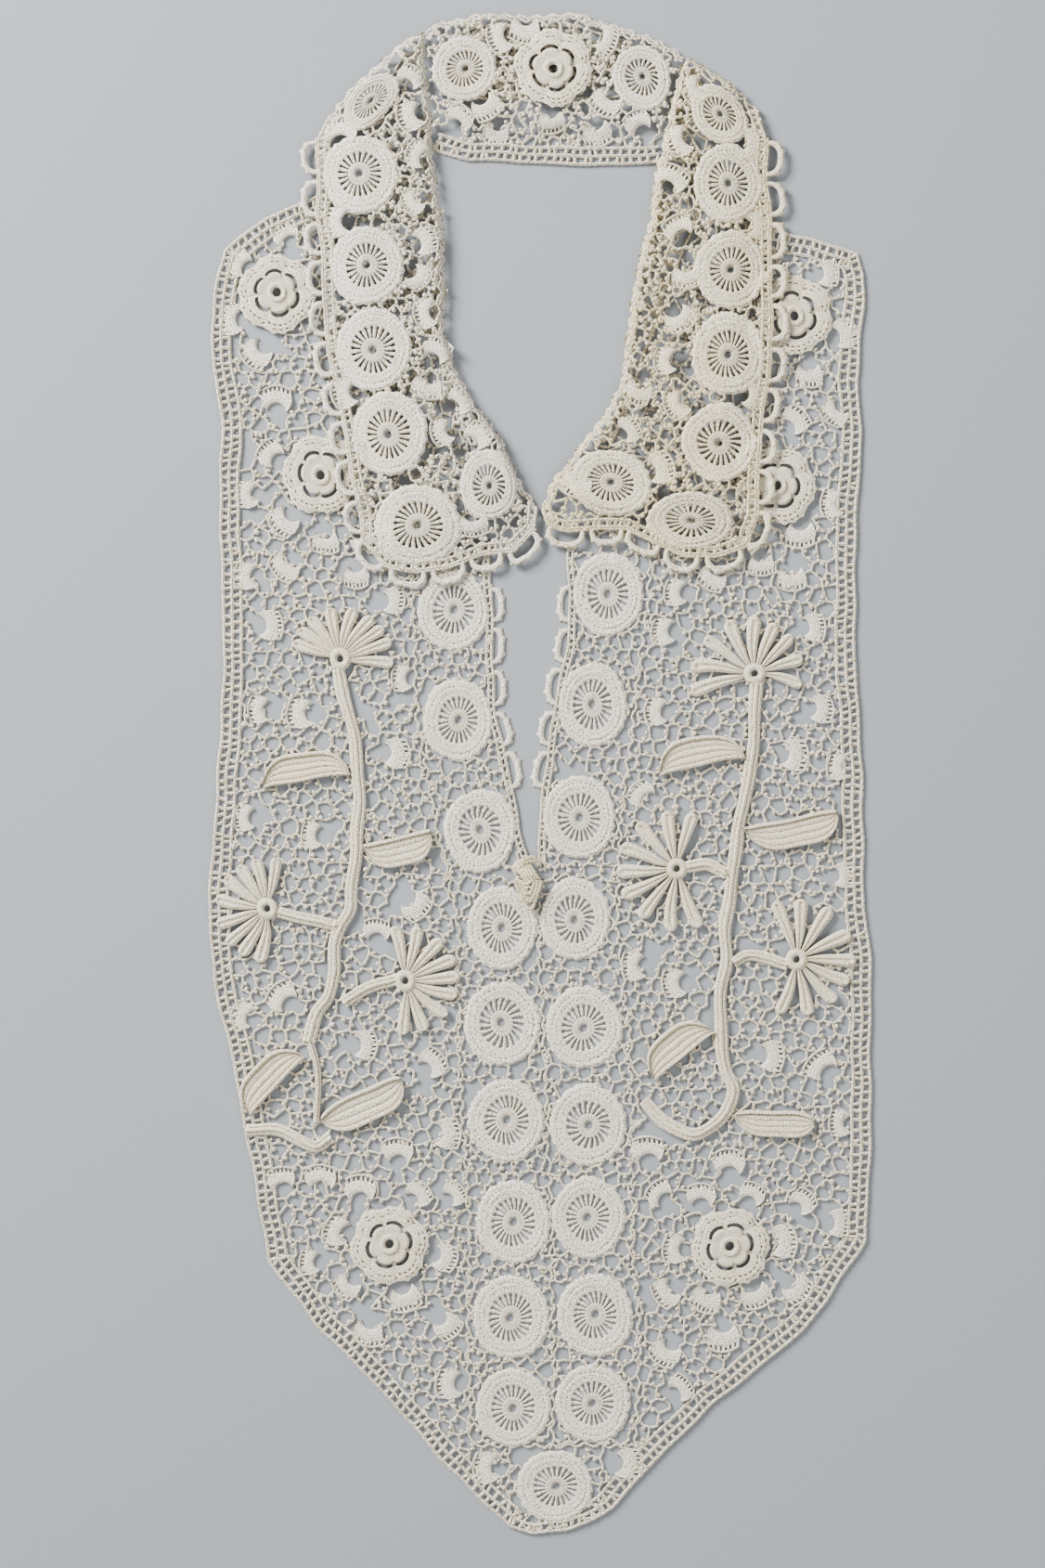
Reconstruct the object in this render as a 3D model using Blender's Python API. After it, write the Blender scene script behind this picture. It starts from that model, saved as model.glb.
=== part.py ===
"""Crochet lace collar with a long front panel, laid flat on a surface.

X runs across the panel, Y from its point up to the back of the neck, and Z up off the surface.
Tables are in millimetres in that plan, and the finished meshes are in metres.
"""

import math
import random

import bpy
import bmesh
from mathutils import Vector
from mathutils.geometry import delaunay_2d_cdt

MM = 0.001
SEAM = 0.3
NET_THICK = 1.2
BORDER = 10.0
BAR = 1.2
CELL_PITCH = 8.6
CELL_JITTER = 0.30
CUT_GAPS = 240
LEAST_GAP = 4.0
LEAST_SIDE = 2.2

WHEEL_RISE = 0.9
FAN_RISE = 0.7
FAN_RADIUS = 4.6
MOTIF_BASE = NET_THICK + SEAM
MOTIF_THICK = 1.6
CORD_HALF = 2.85
PETAL_HALF = 2.7
HUB_RADIUS = 5.0

FREE_LIFT = 2.5
FALL_LIFT = 6.0
FALL_THICK = 1.3
FOLD_RADIUS = 6.0
STAND_HEIGHT = 3.8
STAND_RIM = 1.4
STAND_GRID = 8.5
STAND_COLUMNS = range(-12, 13)
STAND_ROWS = range(15, 42)
STAND_EDGE = 1.5
STAND_SHOULDER = 4.0
BACK_LIFT = 3.2
BACK_HIDDEN = 2.5
BACK_STEP = (286.0, 296.0)
BACK_RIDGE = 297.5

IVORY = (0.78, 0.75, 0.67)
CREAM = (0.74, 0.66, 0.51)
TONED = (0.70, 0.63, 0.43)

# Edge of the panel from the hidden neck point round to the point wheel: x, y.
PANEL_LEFT = [
    (-76, 272), (-111, 257), (-125, 251), (-138, 241), (-143, 237), (-146, 226), (-149, 200),
    (-148, 184), (-144, 160), (-145, 124), (-143, 49), (-144, 30), (-148, -34), (-150, -55),
    (-148, -93), (-143, -114), (-138, -136), (-131, -174), (-123, -221), (-102, -249),
    (-77, -274), (-55, -299), (-33, -323), (-14.3, -340.3),
]
PANEL_RIGHT = [
    (77, 264), (100, 249), (114, 244), (124, 242), (135, 238), (144, 235), (147, 226),
    (147, 216), (144, 177), (146, 154), (143, 105), (143, 54), (146, 3), (147, -61), (150, -82),
    (150, -167), (148, -211), (131, -238), (120, -252), (90, -276), (67, -296), (49, -315),
    (33, -333), (28.3, -336.2),
]

# Where each wheel band meets the net beside it, from top to bottom: x, y.
BAND_SIDE_LEFT = [
    (-60, 104), (-57, 74), (-55.5, 24), (-46, -26), (-36.5, -70), (-37, -113), (-35, -157),
    (-31.5, -203), (-33, -246), (-32, -287), (-31, -305),
]
BAND_SIDE_RIGHT = [
    (49, 104), (49.5, 81), (43, 31), (37, -20), (35, -66), (40.2, -115), (42, -159),
    (41.5, -201), (45, -245), (44, -285), (44, -305),
]
# Edges of the front slit, then the seam that the two bands share below it: x, y.
SLIT_LEFT = [(-24, 104), (-22, 74), (-22.5, 50), (-20.2, 24), (-14, 0), (-9.8, -26), (-3.2, -46)]
SLIT_RIGHT = [(13, 104), (14.2, 81), (13.5, 58), (7.3, 31), (4, 8), (1, -20), (0.2, -44)]
CENTRE_SEAM = [(-0.5, -58), (-0.5, -70), (1.5, -113), (3.5, -157), (5, -203), (6, -246), (6, -305)]
POINT_PANEL = [(-14, -305.3), (-14, -340.6), (-4, -344), (12, -343), (23, -339), (28, -336.4), (28, -305.3)]

# Wheels: x, y, half width, half height, turn in degrees.
WHEELS_LEFT = [
    (-39, 74, 16, 19, 0), (-37, 24, 16, 19, 0), (-27, -26, 16.5, 19, 0), (-17, -70, 16.2, 19, 0),
    (-17, -113, 17.6, 19, 0), (-15, -157, 17.6, 19, 0), (-12, -203, 16.8, 19, 0),
    (-13, -246, 17.6, 19, 0), (-12, -287, 17.2, 17.6, 0),
]
WHEELS_RIGHT = [
    (31, 81, 16, 19, 0), (24, 31, 16, 19, 0), (18, -20, 16.5, 19, 0), (16, -66, 16.2, 19, 0),
    (20, -115, 17.6, 19, 0), (22, -159, 17.6, 19, 0), (22, -201, 16.8, 19, 0),
    (25, -245, 17.6, 19, 0), (24, -285, 17.2, 18, 0),
]
POINT_WHEEL = [(7, -322.5, 17.2, 16.6, 0)]
FALL_WHEELS_LEFT = [
    (-76, 303, 9, 16, -45), (-81, 270, 17, 18, 0), (-78, 229, 17, 18, 0), (-75, 191, 17, 19, 0),
    (-68, 153, 17.5, 19, 0), (-55, 112, 20, 18, 0), (-23, 130, 13, 16, 0),
]
FALL_WHEELS_RIGHT = [
    (81, 297, 11, 15, 40), (85, 266, 16, 18, 0), (86, 227, 16, 18, 0), (85, 189, 17, 19, 0),
    (81, 149, 17, 18, 0), (68, 114, 20, 13, 0), (32, 131, 19, 15, -10),
]

# Roses: x, y, radius.
ROSES_LEFT = [(-119, 217, 17.6), (-99, 135, 17.6), (-68, -213, 17.6)]
ROSES_RIGHT = [(115, 207, 17.6), (107, 130, 17.6), (86, -214, 17.6)]
BACK_ROSE = (6, 318, 17.4)
# Rings of a rose: share of its radius, points, rise over its base wall.
ROSE_RINGS = [(0.80, 12, 0.7), (0.60, 8, 0.1), (0.46, 8, 1.2), (0.22, 8, 2.0)]
ROSE_HOLE = 0.12
ROSE_SIDES = 18

# Daisies: name, hub x, hub y, first and last bearing in degrees, petals, first and last length.
FLOWERS = [
    ("flower_left_top", -90, 52, 166, -7, 9, 23, 24),
    ("flower_left_side", -123, -61, 78, 266, 9, 23, 25),
    ("flower_left_low", -61, -94, 97, -88, 9, 26, 24),
    ("flower_right_top", 97, 45, 194, -8, 9, 30, 22),
    ("flower_right_middle", 62, -43, 77, 288, 9, 26, 29),
    ("flower_right_side", 116, -84, 108, -104, 9, 28, 26),
]
# Leaves: name, base x and y, tip x and y, bulge to the left and to the right of that line.
LEAVES = [
    ("leaf_left_1", -87, -0.5, -125, -7, 0.6, 12),
    ("leaf_left_2", -79, -32.5, -49, -25, 1.5, 12.5),
    ("leaf_left_3", -107, -129, -131, -154, 1, 12),
    ("leaf_left_4", -97.5, -156, -62, -138, 4.5, 10.5),
    ("leaf_right_1", 91.5, 6.5, 54, -1, 0.6, 12.5),
    ("leaf_right_2", 94, -24.5, 135, -17, 2, 12),
    ("leaf_right_3", 78, -118.5, 52, -139, 0.6, 13),
    ("leaf_right_4", 90, -154.5, 124, -157, 4, 8.5),
]
# Padded cords of the sprays, each as the points along its middle: name, half width, x and y.
CORDS = [
    ("stem_left", CORD_HALF, [
        (-90.8, 46.2), (-88, 32), (-84, 16), (-82.5, 0), (-81.5, -14), (-83, -32), (-85, -50),
        (-86, -61), (-90, -69), (-92.5, -78), (-93, -90), (-95, -101), (-101, -109), (-104, -120)]),
    ("stem_left_end", 1.4, [(-103.6, -121), (-101, -131), (-100, -144), (-101, -156)]),
    ("stem_right", CORD_HALF, [
        (97.8, 39.4), (97, 27), (96.5, 13), (95, 2), (92.5, -13), (90, -25), (88, -39), (86, -53),
        (84, -68), (84.5, -84), (82, -99), (82, -120), (83.5, -133), (87.5, -143), (84.5, -153),
        (77, -160), (68, -163), (57, -158), (48, -149)]),
    ("twig_left_side", 2.6, [(-116.6, -62.7), (-106, -66), (-93.8, -68.4)]),
    ("twig_left_low", 2.6, [(-66.5, -93.6), (-77, -96), (-87.4, -103.4)]),
    ("twig_right_middle", 2.6, [(68, -42), (76, -41), (83.2, -45)]),
    ("twig_right_side", 2.6, [(110.2, -86), (102, -83.6), (94, -82.6), (89, -85)]),
    ("tail_left", 2.8, [(-131, -161), (-119, -161.5), (-108, -166), (-101, -168.5), (-95.5, -165)]),
]

# Small fans worked into the ground: x, y of each middle.
FANS_LEFT = [
    (-115, 244), (-136, 231), (-139, 205), (-128, 190), (-119, 169), (-122, 145), (-132, 126),
    (-116, 114), (-97, 104), (-115, 93), (-133, 89), (-83, 89), (-66, 78), (-122, 67), (-62, 43),
    (-127, 29), (-108, 27), (-65, 9), (-133, -20), (-103, -28), (-56, -60), (-74, -71),
    (-117, -101), (-134, -109), (-79, -123), (-49, -131), (-42, -163), (-64, -171), (-117, -183),
    (-99, -183), (-81, -188), (-55, -190), (-92, -207), (-39, -190), (-104, -221), (-43, -219),
    (-87, -232), (-61, -237), (-42, -250), (-78, -253), (-41, -276), (-24, -314),
]
FANS_RIGHT = [
    (130, 226), (138, 199), (122, 180), (133, 163), (116, 160), (133, 122), (118, 108),
    (100, 94), (78, 88), (114, 88), (62, 82), (56, 64), (124, 66), (53, 28), (127, 29),
    (115, 8), (135, 3), (46, -9), (137, -46), (43, -87), (61, -95), (105, -128), (127, -132),
    (136, -158), (49, -170), (86, -176), (54, -190), (73, -191), (96, -190), (119, -194),
    (135, -203), (61, -215), (110, -212), (57, -235), (75, -238), (98, -236), (116, -233),
    (83, -255), (57, -262), (64, -278), (40, -312),
]

# Falls of the turned collar. The fold runs from the front tip up the neck and out along the back
# corner, and the free edge runs from there down the outside and back to the tip: x, y.
FALL_FOLD_LEFT = [
    (-1, 121), (-9, 133), (-17, 150), (-24, 160), (-30, 169), (-38, 181), (-42, 197), (-43, 210),
    (-43, 232), (-44, 253), (-47, 273), (-50, 304), (-52, 334), (-61, 332), (-72, 322),
    (-85, 310), (-96, 297),
]
FALL_FREE_LEFT = [
    (-100, 287), (-100, 253), (-98, 237), (-97, 216), (-95, 189), (-91, 174), (-88, 154),
    (-84, 133), (-80, 115), (-80, 105), (-70, 94), (-57, 91), (-42, 93), (-26, 99), (-11, 101),
    (-2, 111),
]
FALL_FOLD_RIGHT = [
    (1, 120), (6, 133), (18, 148), (26, 158), (31, 165), (37, 178), (39, 195), (41, 211),
    (44, 231), (49, 249), (53, 275), (61, 310), (66, 324), (82, 315), (92, 307), (98, 300),
]
FALL_FREE_RIGHT = [
    (102, 287), (102, 266), (104, 248), (104, 219), (104, 189), (101, 165), (99, 150), (98, 130),
    (98, 116), (93, 104), (80, 98), (66, 98.5), (52, 104), (40, 111), (25, 111), (10, 110),
    (3, 113),
]
# Soft creases of the falls: both ends, rise of the crease, and how far it spreads to a side.
CREASES_LEFT = [(-56, 224, -34, 116, -1.1, 9), (-38, 196, -10, 132, 2.0, 9), (-96, 160, -84, 120, 0.8, 9)]
CREASES_RIGHT = [(60, 250, 52, 170, -0.9, 9), (62, 128, 96, 128, 1.6, 9), (14, 124, 44, 118, 1.8, 9)]

# Hidden stand under each fall, between the fold and the neck edge of the panel: x, y.
STAND_LEFT = [
    (-55.5, 326), (-53, 304), (-50.2, 273), (-47.3, 253), (-46.2, 232), (-46.2, 210), (-45.2, 196),
    (-41.2, 182), (-33.4, 167.5), (-27.4, 158), (-22.5, 149), (-31, 148), (-75, 272.6), (-79, 276),
    (-77, 296), (-69, 312), (-61, 325),
]
STAND_RIGHT = [
    (69.5, 318), (64.5, 309), (56.6, 274), (52.6, 248), (47.6, 230), (44.6, 210), (42.6, 194),
    (41, 177), (34.6, 163), (30, 155.5), (25, 148.5), (31.6, 147.6), (76, 264.6), (81, 268),
    (81, 290), (77, 303), (73, 312),
]

# Back of the collar, seen on its inside between the two falls, and the fall folded behind it.
BACK_TOP = [
    (65.4, 324), (51, 333), (42, 336), (28, 339), (18, 344), (5, 342.5), (-10, 343), (-28, 344),
    (-36, 341), (-48, 338), (-51.5, 334.4),
]
BACK_REST = [
    (-49.5, 304), (-46.5, 281), (-32, 277), (-10, 276), (23, 275), (52.4, 275.4), (60.4, 310),
]
BACK_BEHIND = [
    (54, 318), (48, 326), (40, 331), (27, 334), (17, 338), (5, 337.5), (-10, 338), (-28, 338.5),
    (-34, 335.5), (-42, 329), (-45, 307), (-20, 305), (20, 305), (53, 307),
]

# Picot loops: how far they stand out, how long each is, the strip that they start from, and the
# width of their bar.
LOOP_DEPTH_COLLAR = 7.6
LOOP_DEPTH_SLIT = 6.2
LOOP_LENGTH = 18.5
LOOP_STRIP = 2.0
LOOP_BAR = 1.9
LOOP_THICK = 1.2
SLIT_LOOPS_LEFT = [(-22, 86), (-22, 74), (-22.5, 50), (-20.2, 24), (-14, 0), (-12.6, -8)]
SLIT_LOOPS_RIGHT = [(14, 86), (14.2, 81), (13.5, 58), (7.3, 31), (4, 8), (2.2, -8)]

# Tied thread ends at the foot of the slit: x, y, half width, half length, height.
KNOT = (-6, -49, 6.5, 10.5, 3.8)


def distance(x, y, segment):
    """How far a point lies from a stretch, and the nearest point of the stretch."""
    ax, ay, bx, by = segment
    length = (bx - ax) ** 2 + (by - ay) ** 2
    share = 0.0
    if length > 0:
        share = min(1.0, max(0.0, ((x - ax) * (bx - ax) + (y - ay) * (by - ay)) / length))
    near_x = ax + share * (bx - ax)
    near_y = ay + share * (by - ay)
    return math.hypot(x - near_x, y - near_y), near_x, near_y


def stretches(line, closed=False):
    """The straight stretches of a line of points."""
    ends = line[1:] + line[:1] if closed else line[1:]
    return [(a[0], a[1], b[0], b[1]) for a, b in zip(line, ends)]


def line_distance(x, y, line):
    return min(distance(x, y, segment)[0] for segment in stretches(line))


def inside(x, y, loop):
    found = False
    for ax, ay, bx, by in stretches(loop, closed=True):
        if (ay > y) != (by > y) and x < ax + (y - ay) * (bx - ax) / (by - ay):
            found = not found
    return found


def area(loop):
    return sum(ax * by - bx * ay for ax, ay, bx, by in stretches(loop, closed=True)) / 2


def ramp(value, low, high):
    """0 below low, 1 above high, and a soft step between."""
    t = min(1.0, max(0.0, (value - low) / (high - low)))
    return t * t * (3 - 2 * t)


def shifted(line, dx):
    return [(x + dx, y) for x, y in line]


def divided(line, longest):
    """The same line, closed, with points added so that no stretch is longer than given."""
    points = []
    for ax, ay, bx, by in stretches(line, closed=True):
        parts = max(1, math.ceil(math.hypot(bx - ax, by - ay) / longest))
        for i in range(parts):
            points.append((ax + (bx - ax) * i / parts, ay + (by - ay) * i / parts))
    return points


def offset(line, side):
    """An open line moved to its left by side, point by point."""
    moved = []
    for i, (x, y) in enumerate(line):
        before = line[max(0, i - 1)]
        after = line[min(len(line) - 1, i + 1)]
        dx, dy = after[0] - before[0], after[1] - before[1]
        length = math.hypot(dx, dy)
        moved.append((x - dy / length * side, y + dx / length * side))
    return moved


def ellipse(x, y, wide, high, turn, sides):
    points = []
    for i in range(sides):
        angle = 2 * math.pi * i / sides
        u, v = wide * math.cos(angle), high * math.sin(angle)
        c, s = math.cos(math.radians(turn)), math.sin(math.radians(turn))
        points.append((x + u * c - v * s, y + u * s + v * c))
    return points


def half_plane(loop, x, y, nx, ny):
    """The part of a convex loop that lies on the side of (x, y) towards (nx, ny)."""
    kept = []
    for ax, ay, bx, by in stretches(loop, closed=True):
        a = (ax - x) * nx + (ay - y) * ny
        b = (bx - x) * nx + (by - y) * ny
        if a >= 0:
            kept.append((ax, ay))
        if (a >= 0) != (b >= 0):
            t = a / (a - b)
            kept.append((ax + t * (bx - ax), ay + t * (by - ay)))
    return kept


def without_short_sides(loop):
    """The loop with neighbouring points closer than LEAST_SIDE made one."""
    points = list(loop)
    i = 0
    while i < len(points) and len(points) > 3:
        ax, ay = points[i]
        bx, by = points[(i + 1) % len(points)]
        if math.hypot(ax - bx, ay - by) < LEAST_SIDE:
            points[i] = ((ax + bx) / 2, (ay + by) / 2)
            del points[(i + 1) % len(points)]
            i = 0
        else:
            i += 1
    return points


def ground_cells(region, borders, motifs, seed):
    """Cells of the crocheted ground as (area, loop), kept off the edges and the motifs.

    The bars run half way between neighbouring seeds. borders holds rows of line, width, and motifs
    rows of stretch, radius. Each cell is cut back by half a bar on every side.
    """
    rng = random.Random(seed)
    xs, ys = [p[0] for p in region], [p[1] for p in region]
    row_height = CELL_PITCH * math.sqrt(3) / 2
    seeds = []
    row = 0
    y = min(ys)
    while y < max(ys):
        x = min(xs) + (row % 2) * CELL_PITCH / 2
        while x < max(xs):
            push_x, push_y = rng.uniform(-1, 1), rng.uniform(-1, 1)
            seeds.append((x + push_x * CELL_JITTER * CELL_PITCH, y + push_y * CELL_JITTER * CELL_PITCH))
            x += CELL_PITCH
        y += row_height
        row += 1
    walls = [(segment, width) for line, width in borders for segment in stretches(line)] + motifs
    reach = 2.3 * CELL_PITCH
    cells = []
    for x, y in seeds:
        if not inside(x, y, region):
            continue
        half = CELL_PITCH
        loop = [(x - half, y - half), (x + half, y - half), (x + half, y + half), (x - half, y + half)]
        for other_x, other_y in seeds:
            dx, dy = other_x - x, other_y - y
            if abs(dx) > reach or abs(dy) > reach or (dx == 0 and dy == 0):
                continue
            length = math.hypot(dx, dy)
            back = length / 2 - BAR / 2
            ux, uy = dx / length, dy / length
            loop = half_plane(loop, x + ux * back, y + uy * back, -ux, -uy)
        for segment, radius in walls:
            away, near_x, near_y = distance(x, y, segment)
            if away <= radius:
                loop = []
                break
            if away - radius > 2 * CELL_PITCH:
                continue
            nx, ny = (x - near_x) / away, (y - near_y) / away
            clear = radius + BAR / 2
            loop = half_plane(loop, near_x + nx * clear, near_y + ny * clear, nx, ny)
        if len(loop) < 3:
            continue
        loop = without_short_sides(loop)
        size = area(loop)
        around = sum(math.hypot(bx - ax, by - ay) for ax, ay, bx, by in stretches(loop, closed=True))
        if 4 * size / around > LEAST_GAP:
            cells.append((size, loop))
    return cells


def fill(loops, chains, spots):
    """Flat triangles of the first loop around the loops that follow it, down to holes.

    loops holds rows of points, rise, is_hole, chains rows of points, rise and spots rows of x, y, rise.
    Returns each corner as (x, y, rise, key), where key names a point of the outline or of a hole.
    """
    flat, edges, rises = [], [], []
    for points, rise, _ in loops:
        start = len(flat)
        for i, (x, y) in enumerate(points):
            flat.append(Vector((x, y)))
            rises.append(rise)
            edges.append((start + i, start + (i + 1) % len(points)))
    for points, rise in chains:
        start = len(flat)
        for i, (x, y) in enumerate(points):
            flat.append(Vector((x, y)))
            rises.append(rise)
            if i:
                edges.append((start + i - 1, start + i))
    for x, y, rise in spots:
        flat.append(Vector((x, y)))
        rises.append(rise)
    places, _, faces, sources, _, _ = delaunay_2d_cdt(flat, edges, [], 0, 1e-5)
    corners = [(p.x, p.y, rises[s[0]], s[0]) for p, s in zip(places, sources)]
    outline = loops[0][0]
    holes = []
    for points, _, is_hole in loops:
        if is_hole:
            xs, ys = [p[0] for p in points], [p[1] for p in points]
            holes.append((min(xs), max(xs), min(ys), max(ys), points))
    kept = []
    for face in faces:
        x = sum(places[i].x for i in face) / 3
        y = sum(places[i].y for i in face) / 3
        if not inside(x, y, outline):
            continue
        if any(a < x < b and c < y < d and inside(x, y, hole) for a, b, c, d, hole in holes):
            continue
        kept.append(tuple(face))
    return corners, kept


def wall(name, outline, top, bottom, colour, holes=(), rings=(), chains=(), spots=(), under=()):
    """A closed sheet between two height functions, with holes cut through it.

    rings, chains and spots raise the outer face only, and under holds points that shape the inner face.
    """
    if area(outline) < 0:
        outline = outline[::-1]
    cut = [(list(outline), 0.0, False)] + [(hole, 0.0, True) for hole in holes]
    upper = fill(cut + [(ring, rise, False) for ring, rise in rings], chains, spots)
    lower = fill(cut, (), under)
    bm = bmesh.new()
    sides = []
    for (corners, faces), height in ((upper, top), (lower, bottom)):
        verts = [bm.verts.new(Vector((x, y, height(x, y) + rise)) * MM) for x, y, rise, _ in corners]
        uses = {}
        for face in faces:
            points = [corners[i] for i in face]
            turn = area([(p[0], p[1]) for p in points])
            order = face if (turn > 0) == (height is top) else face[::-1]
            bm.faces.new([verts[i] for i in order])
            if height is top:
                for i, j in zip(order, order[1:] + order[:1]):
                    uses[(i, j)] = True
        sides.append((verts, corners, uses))
    top_verts, top_corners, uses = sides[0]
    lower_by_key = {corner[3]: vert for vert, corner in zip(sides[1][0], sides[1][1])}
    for i, j in uses:
        if (j, i) not in uses:
            a, b = lower_by_key[top_corners[i][3]], lower_by_key[top_corners[j][3]]
            bm.faces.new([top_verts[j], top_verts[i], a, b])
    return add(name, bm, colour)


def add(name, bm, colour):
    """Makes the object of a finished bmesh, with its own crochet cotton material."""
    loose = [v for v in bm.verts if not v.link_faces]
    bmesh.ops.delete(bm, geom=loose, context="VERTS")
    mesh = bpy.data.meshes.new(name)
    bm.to_mesh(mesh)
    bm.free()
    mesh.shade_smooth()
    mesh.set_sharp_from_angle(angle=math.radians(35))
    obj = bpy.data.objects.new(name, mesh)
    material = bpy.data.materials.new("cotton_" + name)
    material.use_nodes = True
    shader = material.node_tree.nodes["Principled BSDF"]
    shader.inputs["Base Color"].default_value = (*colour, 1.0)
    shader.inputs["Roughness"].default_value = 0.9
    shader.inputs["Metallic"].default_value = 0.0
    obj.data.materials.append(material)
    bpy.context.scene.collection.objects.link(obj)
    return obj


def level(height):
    return lambda x, y: height


def wheel_relief(wheels, sides=12):
    """Rings and middles of crocheted wheels: a raised rim, a lower slotted ring, and a raised hub."""
    rings, spots = [], []
    for x, y, wide, high, turn in wheels:
        rings.append((ellipse(x, y, wide * 0.94, high * 0.94, turn, sides), WHEEL_RISE))
        rings.append((ellipse(x, y, wide * 0.50, high * 0.50, turn, sides - 2), WHEEL_RISE * 0.4))
        rings.append((ellipse(x, y, wide * 0.20, high * 0.20, turn, 6), WHEEL_RISE))
        spots.append((x, y, WHEEL_RISE * 0.4))
    return rings, spots


def wheel_room(wheels):
    """Rounded rooms that the ground leaves for wheels: rows of stretch, radius."""
    room = []
    for x, y, wide, high, turn in wheels:
        lean = math.radians(turn) + (math.pi / 2 if high > wide else 0)
        reach = abs(high - wide)
        dx, dy = math.cos(lean) * reach, math.sin(lean) * reach
        room.append(((x - dx, y - dy, x + dx, y + dy), min(wide, high) + 0.4))
    return room


def disc_room(rows, extra):
    return [((row[0], row[1], row[0], row[1]), row[2] + extra) for row in rows]


def petals(row):
    """Bearing in radians and length of each petal of a daisy."""
    _, _, _, first, last, count, long_first, long_last = row
    for i in range(count):
        share = i / (count - 1)
        yield math.radians(first + share * (last - first)), long_first + share * (long_last - long_first)


def spray_room():
    """Rooms that the ground leaves for flowers, leaves and cords: rows of stretch, radius."""
    room = []
    for row in FLOWERS:
        hub_x, hub_y = row[1], row[2]
        room.append(((hub_x, hub_y, hub_x, hub_y), HUB_RADIUS))
        for bearing, length in petals(row):
            reach = length - PETAL_HALF
            end = (hub_x + reach * math.cos(bearing), hub_y + reach * math.sin(bearing))
            room.append(((hub_x, hub_y, *end), PETAL_HALF + 0.4))
    for _, base_x, base_y, tip_x, tip_y, left, right in LEAVES:
        dx, dy = tip_x - base_x, tip_y - base_y
        length = math.hypot(dx, dy)
        lean = (left - right) / 2
        for share, width in ((0.18, 0.55), (0.4, 0.95), (0.6, 0.95), (0.82, 0.55)):
            x = base_x + dx * share - dy / length * lean * width
            y = base_y + dy * share + dx / length * lean * width
            room.append(((x, y, x, y), (left + right) / 2 * width + 0.4))
    for _, half, line in CORDS:
        room += [(segment, half + 0.3) for segment in stretches(line)]
    return room


def fan_relief(fans):
    """Rings about the small fans, level with the net, and the two high points of each fan."""
    rings = [(ellipse(x, y, FAN_RADIUS, FAN_RADIUS * 0.8, 0, 6), 0.0) for x, y in fans]
    spots = [(x + side * FAN_RADIUS * 0.4, y, FAN_RISE) for x, y in fans for side in (-1, 1)]
    return rings, spots


def rose(name, x, y, radius, base, colour):
    """Two rounds of six petals about a padded ring, on the surface that base gives."""
    outline = []
    for i in range(ROSE_SIDES):
        angle = 2 * math.pi * i / ROSE_SIDES
        reach = radius * (1 - 0.08 * (i % 3 == 0))
        outline.append((x + reach * math.cos(angle), y + reach * math.sin(angle)))
    rings = [(ellipse(x, y, radius * s, radius * s, 15, sides), rise) for s, sides, rise in ROSE_RINGS]
    hole = ellipse(x, y, radius * ROSE_HOLE, radius * ROSE_HOLE, 0, 6)
    return wall(name, outline, lambda px, py: base(px, py) + 1.2, base, colour, holes=[hole], rings=rings)


def flower(row):
    """A daisy of long padded petals about a ring, open on the side where its stem joins."""
    name, hub_x, hub_y = row[:3]
    outline, chains = [], []
    rows = sorted(petals(row))
    for i, (bearing, length) in enumerate(rows):
        c, s = math.cos(bearing), math.sin(bearing)
        for along, across in ((length - 1.6, -2.2), (length, 0.0), (length - 1.6, 2.2)):
            outline.append((hub_x + along * c - across * s, hub_y + along * s + across * c))
        chains.append(([(hub_x + r * c, hub_y + r * s) for r in (HUB_RADIUS + 2.5, length - 2.4)], 0.7))
        if i + 1 < len(rows):
            spread = rows[i + 1][0] - bearing
            notch = min(PETAL_HALF / math.sin(spread / 2), length * 0.72)
            middle = bearing + spread / 2
            outline.append((hub_x + notch * math.cos(middle), hub_y + notch * math.sin(middle)))
    start, end = rows[-1][0] + 0.5, rows[0][0] + 2 * math.pi - 0.5
    for i in range(5):
        angle = start + (end - start) * i / 4
        outline.append((hub_x + HUB_RADIUS * math.cos(angle), hub_y + HUB_RADIUS * math.sin(angle)))
    ring = (ellipse(hub_x, hub_y, 3.6, 3.6, 0, 8), 0.9)
    hole = ellipse(hub_x, hub_y, 1.5, 1.5, 0, 6)
    top = level(MOTIF_BASE + MOTIF_THICK)
    return wall(name, outline, top, level(MOTIF_BASE), CREAM, holes=[hole], rings=[ring], chains=chains)


def leaf(name, base_x, base_y, tip_x, tip_y, left, right):
    """A pointed leaf whose two sides bulge by left and right, raised along its middle."""
    dx, dy = tip_x - base_x, tip_y - base_y
    length = math.hypot(dx, dy)
    steps = 7
    sides = {}
    middle = (left - right) / 2
    ux, uy = dx / length, dy / length
    for bulge in (left, -right, middle):
        sides[bulge] = []
        for i in range(1, steps):
            share = i / steps
            out = bulge * math.sin(math.pi * share) ** 0.75
            sides[bulge].append((base_x + dx * share - uy * out, base_y + dy * share + ux * out))
    outline = [(base_x, base_y)] + sides[-right] + [(tip_x, tip_y)] + sides[left][::-1]
    chains = [(sides[middle], 0.4)]
    return wall(name, outline, level(MOTIF_BASE + MOTIF_THICK), level(MOTIF_BASE), CREAM, chains=chains)


def cord(name, half, line):
    """A padded cord laid flat along a line."""
    outline = offset(line, -half) + offset(line, half)[::-1]
    chains = [(line[1:-1], 0.6)]
    top = level(MOTIF_BASE + MOTIF_THICK * 0.8)
    return wall(name, outline, top, level(MOTIF_BASE), CREAM, chains=chains)


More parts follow.
